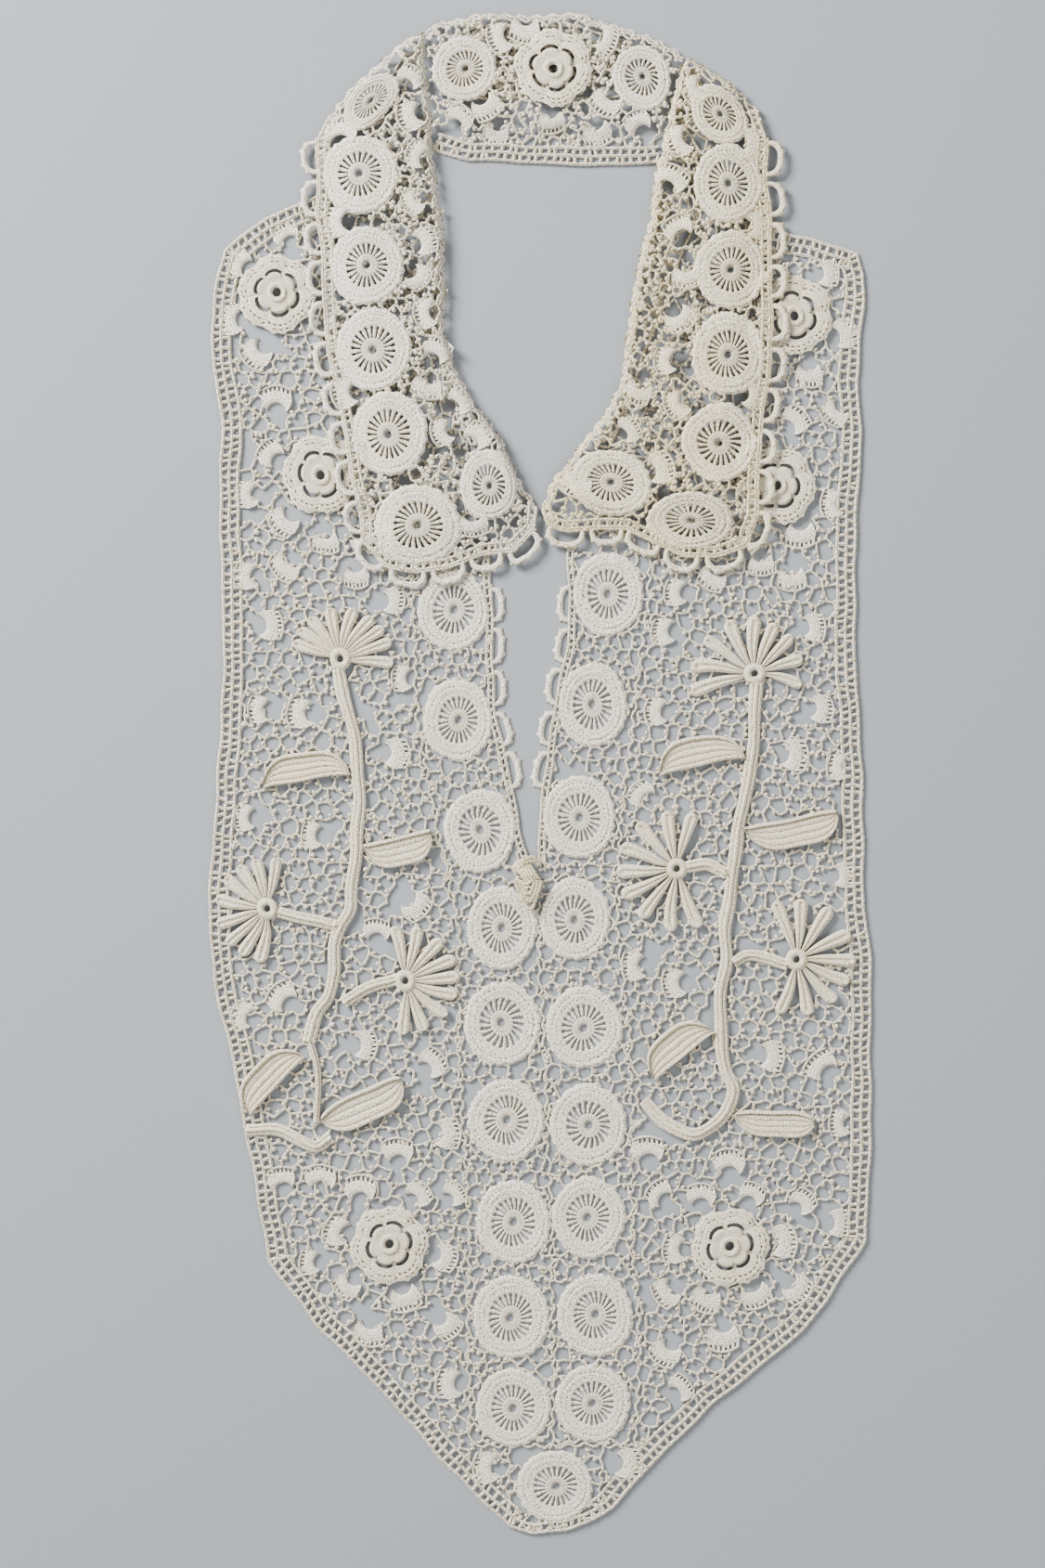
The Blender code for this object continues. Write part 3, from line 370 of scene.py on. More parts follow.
FALL_WHEELS_RIGHT = [
    (81, 297, 11, 15, 40), (85, 266, 16, 18, 0), (86, 227, 16, 18, 0), (85, 189, 17, 19, 0),
    (81, 149, 17, 18, 0), (68, 114, 20, 13, 0), (32, 131, 19, 15, -10),
]


def wheels_at(rows, up=0.0):
    """The wheels of a table, each its own size and with its own kind of middle."""
    shapes = []
    for i, (x, y, wide, high, turn) in enumerate(rows):
        kind = WHEELS[(i * 3 + round(abs(x))) % len(WHEELS)]
        spin = 40 * math.sin(x + 2 * y)
        scaled = placed(kind, 0, 0, spin, wide / WHEEL_RADIUS, wide / WHEEL_RADIUS, up)
        shapes.append(placed(scaled, x, y, turn, 1.0, high / wide))
    return shapes


# Roses: a round of six outer petals with a ridged edge, six smaller ones standing on it, and a
# thick ring of close stitches over a padding cord at the middle. They are sewn on the ground.
ROSES_LEFT = [(-119, 217, 17.6), (-99, 135, 17.6), (-68, -213, 17.6)]
ROSES_RIGHT = [(115, 207, 17.6), (107, 130, 17.6), (86, -214, 17.6)]
BACK_ROSE = (6, 318, 17.4)
PETAL_COLUMNS = 12
# Rings of each round: radius between petals, how much farther it runs at mid petal, and height.
OUTER_ROUND = [
    (4.4, 0.0, 0.9), (6.6, 0.0, 0.9), (8.3, 0.1, 1.0), (8.8, 2.1, 1.45), (10.9, 1.5, 1.75),
    (12.3, 1.7, 1.45), (12.9, 1.7, 1.35), (14.0, 1.9, 1.75), (14.5, 1.9, 1.35), (15.6, 2.0, 0.9),
]
INNER_ROUND = [(4.2, 0.0, 0.7), (5.2, 0.2, 1.0), (5.9, 0.5, 0.75), (6.6, 0.9, 1.45), (7.2, 1.3, 1.3), (7.5, 1.7, 0.6)]
HEART_RINGS = [(2.0, 0.6), (2.5, 1.95), (3.4, 2.35), (4.3, 1.95), (4.9, 0.6)]
GAP_ROW = 2
EDGE_PINHOLES = (5, 7)


def petal_round(rings, turn, base, gap_row=None, pinholes=(), picot=0.0):
    """A round of six petals, creased where they meet, with gaps and pinholes in some rows."""
    columns, last = 6 * PETAL_COLUMNS, len(rings) - 1
    rng = random.Random(31)
    closed_up = [[rng.random() < 0.45 for _ in range(columns)] for _ in rings]

    def plan(u, v):
        ring = round(v * last)
        lobe = max(0.0, math.sin(math.pi * ((u * 6) % 1.0))) ** 0.5
        radius = rings[ring][0] + lobe * rings[ring][1]
        angle = 2 * math.pi * u + math.radians(turn)
        if ring == last:
            radius += picot * max(0.0, math.cos(columns / 3 * 2 * math.pi * u))
        return radius * math.cos(angle), radius * math.sin(angle)

    def rise(u, v):
        column, ring = round(u * columns), round(v * last)
        lobe = max(0.0, math.sin(math.pi * ((u * 6) % 1.0)))
        post = 0.1 if column % 2 else -0.1
        crease = 0.5 + 0.5 * lobe ** 0.5 if ring > 2 else 1.0
        return max(0.3, rings[ring][2] * crease + post)

    def cut(column, row):
        if row == gap_row:
            return 1 <= column % PETAL_COLUMNS < PETAL_COLUMNS - 1
        return row in pinholes and (column + row) % 2 == 0 and not closed_up[row][column]

    return patch(columns, last, plan, rise, (78, rings[-1][0]), cut, base)


def heart():
    """The padded ring at a rose's middle, wound round with slanting stitches."""
    columns, last = 36, len(HEART_RINGS) - 1

    def plan(u, v):
        radius = HEART_RINGS[round(v * last)][0]
        angle = 2 * math.pi * u + 0.25 * v
        return radius * math.cos(angle), radius * math.sin(angle)

    def rise(u, v):
        return HEART_RINGS[round(v * last)][1] + (0.07 if round(u * columns) % 2 else -0.07)

    return patch(columns, last, plan, rise, (24, 4), base=0.9)


ROSE = joined([
    petal_round(OUTER_ROUND, 0, 0.0, GAP_ROW, EDGE_PINHOLES, picot=0.7),
    petal_round(INNER_ROUND, 0, 1.3),
    heart(),
])
MOTIF_BASE = 1.5
rose_pieces = {}
for side, rows in (("left", ROSES_LEFT), ("right", ROSES_RIGHT)):
    for i, (x, y, radius) in enumerate(rows):
        rose = placed(ROSE, x, y, 17 * i + 9, radius / 17.5, radius / 17.5, MOTIF_BASE)
        piece = crocheted(f"rose_{side}_{i + 1}_crochet", [rose], CREAM)
        rose_pieces[side, i] = on_body(piece, "cotton_cream", f"rose_{side}_{i + 1}")


# Daisies: long petals, each a cord covered with close stitches out along one side and back along
# the other, round a small ring that the stem joins. They are worked over padding and stand proud.
FLOWERS = [
    ("flower_left_top", -90, 52, 166, -7, 9, 23, 24),
    ("flower_left_side", -123, -61, 78, 266, 9, 23, 25),
    ("flower_left_low", -61, -94, 97, -88, 9, 26, 24),
    ("flower_right_top", 97, 45, 194, -8, 9, 30, 22),
    ("flower_right_middle", 62, -43, 77, 288, 9, 26, 29),
    ("flower_right_side", 116, -84, 108, -104, 9, 28, 26),
]
PETAL_HALF = 2.7
HUB_RADIUS = 5.0
PETAL_WIDE = 3.9
PETAL_SPREAD = 0.187
PETAL_FLARE = 0.085
RIB = 1.1


def petals(row):
    """Bearing in degrees and length of each petal of a daisy."""
    _, _, _, first, last, count, long_first, long_last = row
    for i in range(count):
        share = i / (count - 1)
        yield first + share * (last - first), long_first + share * (long_last - long_first)


def petal(length, bend):
    """A padded petal along +X from the ring, with a groove down its middle and fine cross ribs."""
    start = 3.9
    run = length - start
    rows = round(1.5 * run / RIB)

    def plan(u, v):
        along = start + run * u
        tip = max(0.0, 1 - u) * run / PETAL_WIDE
        rounding = math.sqrt(max(0.0, 1 - (1 - min(1.0, tip)) ** 2))
        half = min(PETAL_SPREAD * along, 2.05 + PETAL_FLARE * (along - 11)) * rounding
        return along, (2 * v - 1) * half + bend * u * u

    def rise(u, v):
        hump = math.sin(math.pi * min(1.0, max(0.0, v))) ** 0.45
        inner = math.exp(-(((v - 0.5) / 0.17) ** 4)) * (u < 0.93)
        groove = 0.42 * inner + 0.22 * math.exp(-(((v - 0.5) / 0.05) ** 2)) * (u < 0.93)
        rib = (0.14 if round(u * rows) % 2 else -0.14) * inner
        swell = 1.75 + 0.4 * math.sin(math.pi * u)
        return max(0.25, hump * (swell * (1 - groove) + rib))

    return patch(rows, 10, plan, rise, (run, 5.0))


def hub():
    """The small ring at a daisy's middle."""
    rings, rises = [1.5, 2.2, 3.2, 4.3, 5.0], [0.7, 2.1, 2.4, 1.9, 0.8]

    def plan(u, v):
        radius = rings[round(v * 4)]
        return radius * math.cos(2 * math.pi * u), radius * math.sin(2 * math.pi * u)

    return patch(32, 4, plan, lambda u, v: rises[round(v * 4)] + (0.12 if round(u * 32) % 2 else -0.1), (24, 4))


HUB = hub()
flower_pieces = {}
for row in FLOWERS:
    name, hub_x, hub_y = row[:3]
    shapes = [placed(HUB, hub_x, hub_y, 0, 1, 1, MOTIF_BASE)]
    for i, (bearing, length) in enumerate(petals(row)):
        bend = 1.6 * math.sin(hub_x + 5 * i)
        shapes.append(placed(petal(length, bend), hub_x, hub_y, bearing, 1, 1, MOTIF_BASE + 0.12 * (i % 2)))
    piece = crocheted(name + "_crochet", shapes, CREAM)
    flower_pieces[name] = on_body(piece, "cotton_cream", name)


# Leaves: rows of ribbed stitches worked to and fro along a foundation, edged with a covered cord.
# Name, base x and y, tip x and y, bulge to the left and to the right of that line.
LEAVES = [
    ("leaf_left_1", -87, -0.5, -125, -7, 0.6, 12),
    ("leaf_left_2", -79, -32.5, -49, -25, 1.5, 12.5),
    ("leaf_left_3", -107, -129, -131, -154, 1, 12),
    ("leaf_left_4", -97.5, -156, -62, -138, 4.5, 10.5),
    ("leaf_right_1", 91.5, 6.5, 54, -1, 0.6, 12.5),
    ("leaf_right_2", 94, -24.5, 135, -17, 2, 12),
    ("leaf_right_3", 78, -118.5, 52, -139, 0.6, 13),
    ("leaf_right_4", 90, -154.5, 124, -157, 4, 8.5),
]
LEAF_RIM = 2.0
LEAF_RIDGES = 3
LEAF_BEND = 1.4
REACH = 1.5


def leaf(base_x, base_y, tip_x, tip_y, left, right):
    """A leaf with a raised cord along both edges, and lengthwise ridges of stitches between."""
    dx, dy = tip_x - base_x, tip_y - base_y
    ux, uy = dx / math.hypot(dx, dy), dy / math.hypot(dx, dy)
    base_x, base_y = base_x - ux * REACH, base_y - uy * REACH
    dx, dy = tip_x - base_x, tip_y - base_y
    length = math.hypot(dx, dy)
    columns = round(1.5 * length / RIB)
    bend = LEAF_BEND * (left - right) / (left + right)

    def plan(u, v):
        swell = max(0.0, 1 - abs(2 * u - 1) ** (3 if u < 0.5 else 4))
        wide = (left + right) * swell ** 0.55
        rim = min(LEAF_RIM, wide / 4)
        if v < 0.1:
            across = rim * v / 0.1
        elif v > 0.9:
            across = wide - rim * (1 - v) / 0.1
        else:
            across = rim + (wide - 2 * rim) * (v - 0.1) / 0.8
        out = across - wide * right / (left + right) + bend * swell
        return base_x + dx * u - uy * out, base_y + dy * u + ux * out

    def rise(u, v):
        edge = min(v, 1 - v)
        if edge < 0.095:
            return 0.35 + 2.2 * math.sqrt(max(0.0, math.sin(math.pi * edge / 0.1)))
        ridge = abs(math.sin(math.pi * LEAF_RIDGES * (v - 0.1) / 0.8)) ** 0.6
        return 0.5 + 0.85 * ridge + (0.1 if round(u * columns) % 2 else -0.1)

    return patch(columns, 30, plan, rise, (length, (left + right) * 0.85))


leaf_pieces = {}
for name, *shape in LEAVES:
    lifted = placed(leaf(*shape), 0, 0, 0, 1, 1, MOTIF_BASE)
    leaf_pieces[name] = on_body(crocheted(name + "_crochet", [lifted], CREAM), "cotton_cream", name)


# Stems, twigs and the loose tail: close stitches over a thick padding cord, with a ladder of
# stitch heads along each edge. Name, half width, and the points along the middle.
CORD_HALF = 2.85
CORDS = [
    ("stem_left", CORD_HALF, [
        (-90.8, 46.2), (-88, 32), (-84, 16), (-82.5, 0), (-81.5, -14), (-83, -32), (-85, -50),
        (-86, -61), (-90, -69), (-92.5, -78), (-93, -90), (-95, -101), (-101, -109), (-104, -120)]),
    ("stem_left_end", 1.4, [(-103.6, -121), (-101, -131), (-100, -144), (-101, -156)]),
    ("stem_right", CORD_HALF, [
        (97.8, 39.4), (97, 27), (96.5, 13), (95, 2), (92.5, -13), (90, -25), (88, -39), (86, -53),
        (84, -68), (84.5, -84), (82, -99), (82, -120), (83.5, -133), (87.5, -143), (84.5, -153),
        (77, -160), (68, -163), (57, -158), (48, -149)]),
    ("twig_left_side", 2.6, [(-116.6, -62.7), (-106, -66), (-93.8, -68.4)]),
    ("twig_left_low", 2.6, [(-66.5, -93.6), (-77, -96), (-87.4, -103.4)]),
    ("twig_right_middle", 2.6, [(68, -42), (76, -41), (83.2, -45)]),
    ("twig_right_side", 2.6, [(110.2, -86), (102, -83.6), (94, -82.6), (89, -85)]),
    ("tail_left", 2.8, [(-131, -161), (-119, -161.5), (-108, -166), (-101, -168.5), (-95.5, -165)]),
]


def smooth_line(points, step, closed=False):
    """Points every step along a soft curve through the given ones."""
    known = [Vector(p[:2]) for p in points]
    if closed:
        known = known + known[:1]
    dense = []
    for i in range(len(known) - 1):
        before = known[i - 1] if i or closed and len(known) > 2 else known[i] * 2 - known[i + 1]
        if i == 0 and closed:
            before = known[-2]
        after = known[i + 2] if i + 2 < len(known) else known[i + 1] * 2 - known[i]
        if i + 2 == len(known) and closed:
            after = known[1]
        a, b = known[i], known[i + 1]
        for j in range(12):
            t = j / 12
            dense.append(0.5 * (2 * a + (b - before) * t + (2 * before - 5 * a + 4 * b - after) * t * t
                                + (3 * a - before - 3 * b + after) * t * t * t))
    dense.append(known[-1])
    return evenly(dense, step)


def evenly(line, step):
    """A line as points that lie step apart along it, ends kept."""
    at = [0.0]
    for a, b in zip(line, line[1:]):
        at.append(at[-1] + math.dist(a[:2], b[:2]))
    count = max(2, round(at[-1] / step) + 1)
    stops = np.linspace(0, at[-1], count)
    xs = np.interp(stops, at, [p[0] for p in line])
    ys = np.interp(stops, at, [p[1] for p in line])
    return [(float(x), float(y)) for x, y in zip(xs, ys)]


def sides_of(line):
    """Unit vectors to the left of a line at each of its points."""
    out = []
    for i in range(len(line)):
        a, b = line[max(0, i - 1)], line[min(len(line) - 1, i + 1)]
        long = math.dist(a, b) or 1.0
        out.append((-(b[1] - a[1]) / long, (b[0] - a[0]) / long))
    return out


def covered_cord(half, points):
    """A padded cord along a soft line, round over its middle, with a ladder down each edge."""
    line = smooth_line(points, RIB / 2)
    for end, before in ((0, 1), (-1, -2)):
        long = math.dist(line[end], line[before])
        line[end] = tuple(a + (a - b) * REACH / long for a, b in zip(line[end], line[before]))
    left = sides_of(line)
    rows = len(line) - 1

    def plan(u, v):
        i = round(u * rows)
        across = (2 * v - 1) * half * (1 + 0.05 * math.sin(i / 9))
        return line[i][0] + left[i][0] * across, line[i][1] + left[i][1] * across

    def rise(u, v):
        closed = math.sin(math.pi * min(1.0, max(0.0, v))) ** 0.4
        grooves = math.exp(-(((v - 0.31) / 0.05) ** 2)) + math.exp(-(((v - 0.69) / 0.05) ** 2))
        middle = math.exp(-(((v - 0.5) / 0.17) ** 4))
        ladder = (0.2 if round(u * rows) % 2 else -0.24) * (v < 0.3 or v > 0.7)
        return max(0.25, closed * (1.4 + 0.6 * middle - 0.8 * grooves + ladder))

    return patch(rows, 13, plan, rise, (rows * RIB / 2, 2 * half))


cord_pieces = {}
for name, half, points in CORDS:
    lifted = placed(covered_cord(half, points), 0, 0, 0, 1, 1, MOTIF_BASE)
    cord_pieces[name] = on_body(crocheted(name + "_crochet", [lifted], CREAM), "cotton_cream", name)


# Fans: small shells worked into the ground, dense and hollowed on one side, and on the other a
# comb of short stitches that carries a chain. Each x, y and the bearing of its comb in degrees.
FANS_LEFT = [
    (-115, 244, 120), (-136, 231, 150), (-139, 205, 180), (-128, 190, 225), (-119, 169, 90),
    (-122, 145, 135), (-132, 126, 180), (-116, 114, 225), (-97, 104, 270), (-115, 93, 225),
    (-133, 89, 180), (-83, 89, 270), (-66, 78, 0), (-122, 67, 0), (-62, 43, 180), (-127, 29, 180),
    (-108, 27, 180), (-65, 9, 0), (-133, -20, 180), (-103, -28, 180), (-56, -60, 315),
    (-74, -71, 90), (-117, -101, 135), (-134, -109, 160), (-79, -123, 0), (-49, -131, 45),
    (-42, -163, 0), (-64, -171, 90), (-117, -183, 100), (-99, -183, 90), (-81, -188, 90),
    (-55, -190, 45), (-92, -207, 166), (-39, -190, 38), (-104, -221, 180), (-43, -219, 346),
    (-87, -232, 225), (-61, -237, 287), (-42, -250, 315), (-78, -253, 256), (-41, -276, 180),
    (-24, -314, 180),
]
FANS_RIGHT = [
    (130, 226, 0), (138, 199, 20), (122, 180, 270), (133, 163, 225), (116, 160, 45),
    (133, 122, 180), (118, 108, 270), (100, 94, 270), (78, 88, 240), (114, 88, 270), (62, 82, 180),
    (56, 64, 180), (124, 66, 0), (53, 28, 180), (127, 29, 0), (115, 8, 0), (135, 3, 180),
    (46, -9, 135), (137, -46, 0), (43, -87, 180), (61, -95, 180), (105, -128, 0), (127, -132, 135),
    (136, -158, 180), (49, -170, 90), (86, -176, 90), (54, -190, 135), (73, -191, 90),
    (96, -190, 65), (119, -194, 45), (135, -203, 0), (61, -215, 180), (110, -212, 0),
    (57, -235, 215), (75, -238, 245), (98, -236, 290), (116, -233, 320), (83, -255, 270),
    (57, -262, 235), (64, -278, 45), (40, -312, 0),
]
FAN_ROWS = [
    (0.0, 0.5), (0.07, 1.45), (0.2, 1.6), (0.35, 1.5), (0.5, 1.45), (0.62, 1.05), (0.86, 0.9),
    (0.93, 1.45), (1.0, 0.6),
]
FAN_COMB = 5
FAN_SLOTS = 6
HOLLOW_Y = -5.8
HOLLOW_RADIUS = 4.1
SHOULDER_SHARE = 0.62
SHOULDER = (6.3, 1.6, 1.8)
COMB = (6.4, 4.4, 1.9)


def fan_point(side, share):
    """A point of the fan: side from -1 to 1 across it, share from its hollow to its comb."""
    angle = math.radians(80 * side)
    hollow = (HOLLOW_RADIUS * math.sin(angle), HOLLOW_Y + HOLLOW_RADIUS * math.cos(angle))
    shoulder, comb = ((half * side, low + crown * (1 - side * side)) for half, low, crown in (SHOULDER, COMB))
    if share < SHOULDER_SHARE:
        part = share / SHOULDER_SHARE
        leg = 1.1 * side ** 3 * math.sqrt(math.sin(math.pi * part))
        return (hollow[0] + (shoulder[0] - hollow[0]) * part + leg,
                hollow[1] + (shoulder[1] - hollow[1]) * part)
    part = (share - SHOULDER_SHARE) / (1 - SHOULDER_SHARE)
    return tuple(a + (b - a) * part for a, b in zip(shoulder, comb))


def fan():
    """A fan 12.6 mm wide and 12 mm deep whose comb faces +Y."""
    columns, last = 2 * FAN_SLOTS + 1, len(FAN_ROWS) - 1

    def plan(u, v):
        return fan_point(2 * u - 1, FAN_ROWS[round(v * last)][0])

    def rise(u, v):
        share, height = FAN_ROWS[round(v * last)]
        post = 0.16 if round(u * columns) % 2 else -0.12
        return height + post * (share > 0.05) + 0.2 * (abs(2 * u - 1) > 0.9)

    def cut(column, row):
        return row == FAN_COMB and column % 2 == 1

    return patch(columns, last, plan, rise, (15, 10), cut)


def fan_room(rows):
    """Rooms that the ground leaves for fans, from their belly to under their comb."""
    room = []
    for x, y, bearing in rows:
        turn = math.radians(bearing - 90)
        c, s = math.cos(turn), math.sin(turn)
        for share in (0.25, 0.85):
            arc = [fan_point(side, share) for side in (-0.9, -0.3, 0.3, 0.9)]
            laid = [(x + px * c - py * s, y + px * s + py * c) for px, py in arc]
            room += [((*a, *b), 1.2) for a, b in zip(laid, laid[1:])]
    return room


def hollows(rows):
    """The open hollows of fans, which no bar crosses."""
    room = []
    for x, y, bearing in rows:
        turn = math.radians(bearing - 90)
        mouth = HOLLOW_Y + 0.6
        at = (x - mouth * math.sin(turn), y + mouth * math.cos(turn))
        room.append(((*at, *at), 2.6))
    return room


FAN = fan()


def fans_at(rows, up=0.0):
    shapes = []
    for i, (x, y, bearing) in enumerate(rows):
        size = 1.0 + 0.09 * math.sin(1.7 * i + x)
        shapes.append(placed(FAN, x, y, bearing - 90, size, size * (1 + 0.06 * math.sin(y)), up))
    return shapes


# Ground: bars of double thread worked from motif to motif, with a small picot knot on most of them.
# The bars are the edges of the cells about a scatter of points, and stop at the motifs.
CELL_PITCH = 7.3
CELL_JITTER = 0.30
BAR_RADIUS = 0.56
CHAIN_UP = 0.72
KNOT_SHARE = 0.85
KNOT_RADIUS = 1.2


def stretches(line, closed=False):
    """The straight stretches of a line of points."""
    ends = line[1:] + line[:1] if closed else line[1:]
    return [(a[0], a[1], b[0], b[1]) for a, b in zip(line, ends)]


def away(xs, ys, rooms):
    """How far points lie outside the nearest of the rooms, rows of stretch, radius."""
    best = np.full(len(xs), 1e9)
    for (ax, ay, bx, by), radius in rooms:
        length = (bx - ax) ** 2 + (by - ay) ** 2
        share = np.zeros(len(xs))
        if length > 0:
            share = np.clip(((xs - ax) * (bx - ax) + (ys - ay) * (by - ay)) / length, 0, 1)
        gap = np.hypot(xs - ax - share * (bx - ax), ys - ay - share * (by - ay)) - radius
        best = np.minimum(best, gap)
    return best


def line_distance(xs, ys, line):
    return away(xs, ys, [(segment, 0.0) for segment in stretches(line)])


def inside(xs, ys, loop):
    found = np.zeros(len(xs), bool)
    for ax, ay, bx, by in stretches(loop, closed=True):
        if ay != by:
            crossing = (ay > ys) != (by > ys)
            found ^= crossing & (xs < ax + (ys - ay) * (bx - ax) / (by - ay))
    return found


def scatter(region, pitch, seed):
    """The points that the cells of the ground lie about."""
    rng = random.Random(seed)
    xs, ys = [p[0] for p in region], [p[1] for p in region]
    points = []
    row = 0
    y = min(ys)
    while y < max(ys):
        x = min(xs) + (row % 2) * pitch / 2
        while x < max(xs):
            push_x, push_y = rng.uniform(-1, 1), rng.uniform(-1, 1)
            points.append((x + push_x * CELL_JITTER * pitch, y + push_y * CELL_JITTER * pitch))
            x += pitch
        y += pitch * math.sqrt(3) / 2
        row += 1
    return points


def middle_of(a, b, c):
    """The point as far from each of three points, or None where they lie in a row."""
    d = 2 * (a[0] * (b[1] - c[1]) + b[0] * (c[1] - a[1]) + c[0] * (a[1] - b[1]))
    if abs(d) < 1e-6:
        return None
    aa, bb, cc = (p[0] ** 2 + p[1] ** 2 for p in (a, b, c))
    return ((aa * (b[1] - c[1]) + bb * (c[1] - a[1]) + cc * (a[1] - b[1])) / d,
            (aa * (c[0] - b[0]) + bb * (a[0] - c[0]) + cc * (b[0] - a[0])) / d)


def cell_edges(points):
    """Both ends of every edge between the cells about the points."""
    flat = [Vector(p) for p in points]
    places, _, faces, _, _, _ = delaunay_2d_cdt(flat, [], [], 0, 1e-5)
    across = {}
    for face in faces:
        centre = middle_of(*(places[i] for i in face[:3]))
        for i, j in zip(face, face[1:] + face[:1]):
            across.setdefault((min(i, j), max(i, j)), []).append(centre)
    return [pair for pair in across.values() if len(pair) == 2 and None not in pair]


def knot_blob():
    bm = bmesh.new()
    bmesh.ops.create_icosphere(bm, subdivisions=1, radius=1.0)
    bm.loops.layers.uv.new("stitch")
    bmesh.ops.scale(bm, vec=(1, 1, 0.85), verts=bm.verts[:])
    return shape_of(bm, 0)


KNOT_BLOB = knot_blob()


def chain_line(points, radius, z, rng):
    """A line of points as a chain, its thickness pulsing with the stitches."""
    line = []
    for i, (x, y) in enumerate(points):
        pulse = radius * (1.2 if i % 2 else 0.84) * rng.uniform(0.94, 1.06)
        line.append((x, y, z + rng.uniform(-0.08, 0.08), pulse))
    return line


def anchored(bars):
    """The bars that hold at both ends: rows of start, end, and whether each end meets a motif or edge."""
    while True:
        meetings = {}
        for start, end, _, _ in bars:
            for point in (start, end):
                spot = (round(point[0], 2), round(point[1], 2))
                meetings[spot] = meetings.get(spot, 0) + 1
        kept = []
        for bar in bars:
            holds = [held or meetings[round(point[0], 2), round(point[1], 2)] > 1
                     for point, held in zip(bar[:2], bar[2:])]
            if all(holds):
                kept.append(bar)
        if len(kept) == len(bars):
            return kept
        bars = kept


def ground(region, edges, rooms, seed, pitch=CELL_PITCH, up=CHAIN_UP, radius=BAR_RADIUS, voids=(), pairs=0.35):
    """Bars and picots of one stretch of ground. edges are rows of line, width kept clear.

    A bar stops a little inside a room, and one that would cross a void isn't worked.
    """
    rng = random.Random(seed * 7 + 1)
    ends = cell_edges(scatter(region, pitch, seed))
    steps = 17
    shares = np.linspace(0, 1, steps)
    a = np.array([p for p, _ in ends])
    b = np.array([q for _, q in ends])
    xs = (a[:, :1] + (b - a)[:, :1] * shares).ravel()
    ys = (a[:, 1:] + (b - a)[:, 1:] * shares).ravel()
    walls = list(rooms) + [(segment, width) for line, width in edges for segment in stretches(line)]
    free = (inside(xs, ys, region) & (away(xs, ys, walls) > -0.9)).reshape(-1, steps)
    barred = (away(xs, ys, voids) < 0).reshape(-1, steps).any(axis=1)
    bars = []
    for start, end, open_at, crosses in zip(a, b, free, barred):
        length = math.dist(start, end)
        clear = np.flatnonzero(open_at)
        if crosses or len(clear) < 2 or length > 3 * pitch:
            continue
        for group in np.split(clear, np.flatnonzero(np.diff(clear) > 1) + 1):
            first, last = shares[group[0]], shares[group[-1]]
            if (last - first) * length > 1.4:
                bars.append((tuple(start + (end - start) * first), tuple(start + (end - start) * last),
                             group[0] > 0, group[-1] < steps - 1))
    lines, knots = [], []
    for start, end, _, _ in anchored(bars):
        run = math.dist(start, end)
        sag = rng.uniform(-0.1, 0.1) * run

        def at(t, out, start=start, end=end, run=run, sag=sag):
            out += sag * 4 * t * (1 - t)
            dx, dy = end[0] - start[0], end[1] - start[1]
            return start[0] + dx * t - dy * out / run, start[1] + dy * t + dx * out / run

        parts = max(3, round(run / 1.25))
        lines.append(chain_line([at(i / parts, 0) for i in range(parts + 1)], radius, up, rng))
        if run < 3.2 or rng.random() > KNOT_SHARE:
            continue
        for _ in range(2 if run > 10 * (1 - pairs) and rng.random() < pairs else 1):
            x, y = at(rng.uniform(0.34, 0.66), rng.choice((-1, 1)) * rng.uniform(0.6, 1.3))
            size = KNOT_RADIUS * rng.uniform(0.8, 1.15)
            knots.append(placed(KNOT_BLOB, x, y, rng.uniform(0, 180), size, size * rng.uniform(0.8, 1.1), up + 0.12))
    return [chains(lines)] + knots


def offset_line(line, side):
    """A line moved to its left."""
    left = sides_of(line)
    return [(x + nx * side, y + ny * side) for (x, y), (nx, ny) in zip(line, left)]


FILET_UP = 0.9


def filet(edge, way, rails, rung_pitch, up, rng, radius=0.74):
    """Squares of open border along an edge: chains at those depths, and rungs between them."""
    line = evenly(edge, 1.0)
    lines = []
    tracks = []
    for depth in rails:
        moved = evenly(offset_line(line, way * depth), 1.7)
        wavy = [(x, y) for x, y in moved]
        lines.append(chain_line(wavy, radius, up, rng))
        tracks.append(offset_line(line, way * depth))
    step = round(rung_pitch)
    for inner, outer in zip(tracks, tracks[1:]):
        at = 1.0
        while at < len(line) - 1:
            i = int(at)
            (ax, ay), (bx, by) = inner[i], outer[min(len(outer) - 1, i + rng.choice((-1, 0, 0, 1)))]
            path = [(ax + (bx - ax) * t, ay + (by - ay) * t) for t in (0, 0.5, 1)]
            lines.append(chain_line(path, radius * 0.92, up + 0.05, rng))
            at += rung_pitch * rng.uniform(0.88, 1.12)
    return chains(lines)


# Edges and seams of the front panel: x, y, from the part's own tables.
PANEL_LEFT = [
    (-76, 272), (-111, 257), (-125, 251), (-138, 241), (-143, 237), (-146, 226), (-149, 200),
    (-148, 184), (-144, 160), (-145, 124), (-143, 49), (-144, 30), (-148, -34), (-150, -55),
    (-148, -93), (-143, -114), (-138, -136), (-131, -174), (-123, -221), (-102, -249),
    (-77, -274), (-55, -299), (-33, -323), (-14.3, -340.3),
]
PANEL_RIGHT = [
    (77, 264), (100, 249), (114, 244), (124, 242), (135, 238), (144, 235), (147, 226),
    (147, 216), (144, 177), (146, 154), (143, 105), (143, 54), (146, 3), (147, -61), (150, -82),
    (150, -167), (148, -211), (131, -238), (120, -252), (90, -276), (67, -296), (49, -315),
    (33, -333), (28.3, -336.2),
]
BAND_SIDE_LEFT = [
    (-60, 104), (-57, 74), (-55.5, 24), (-46, -26), (-36.5, -70), (-37, -113), (-35, -157),
    (-31.5, -203), (-33, -246), (-32, -287), (-31, -305),
]
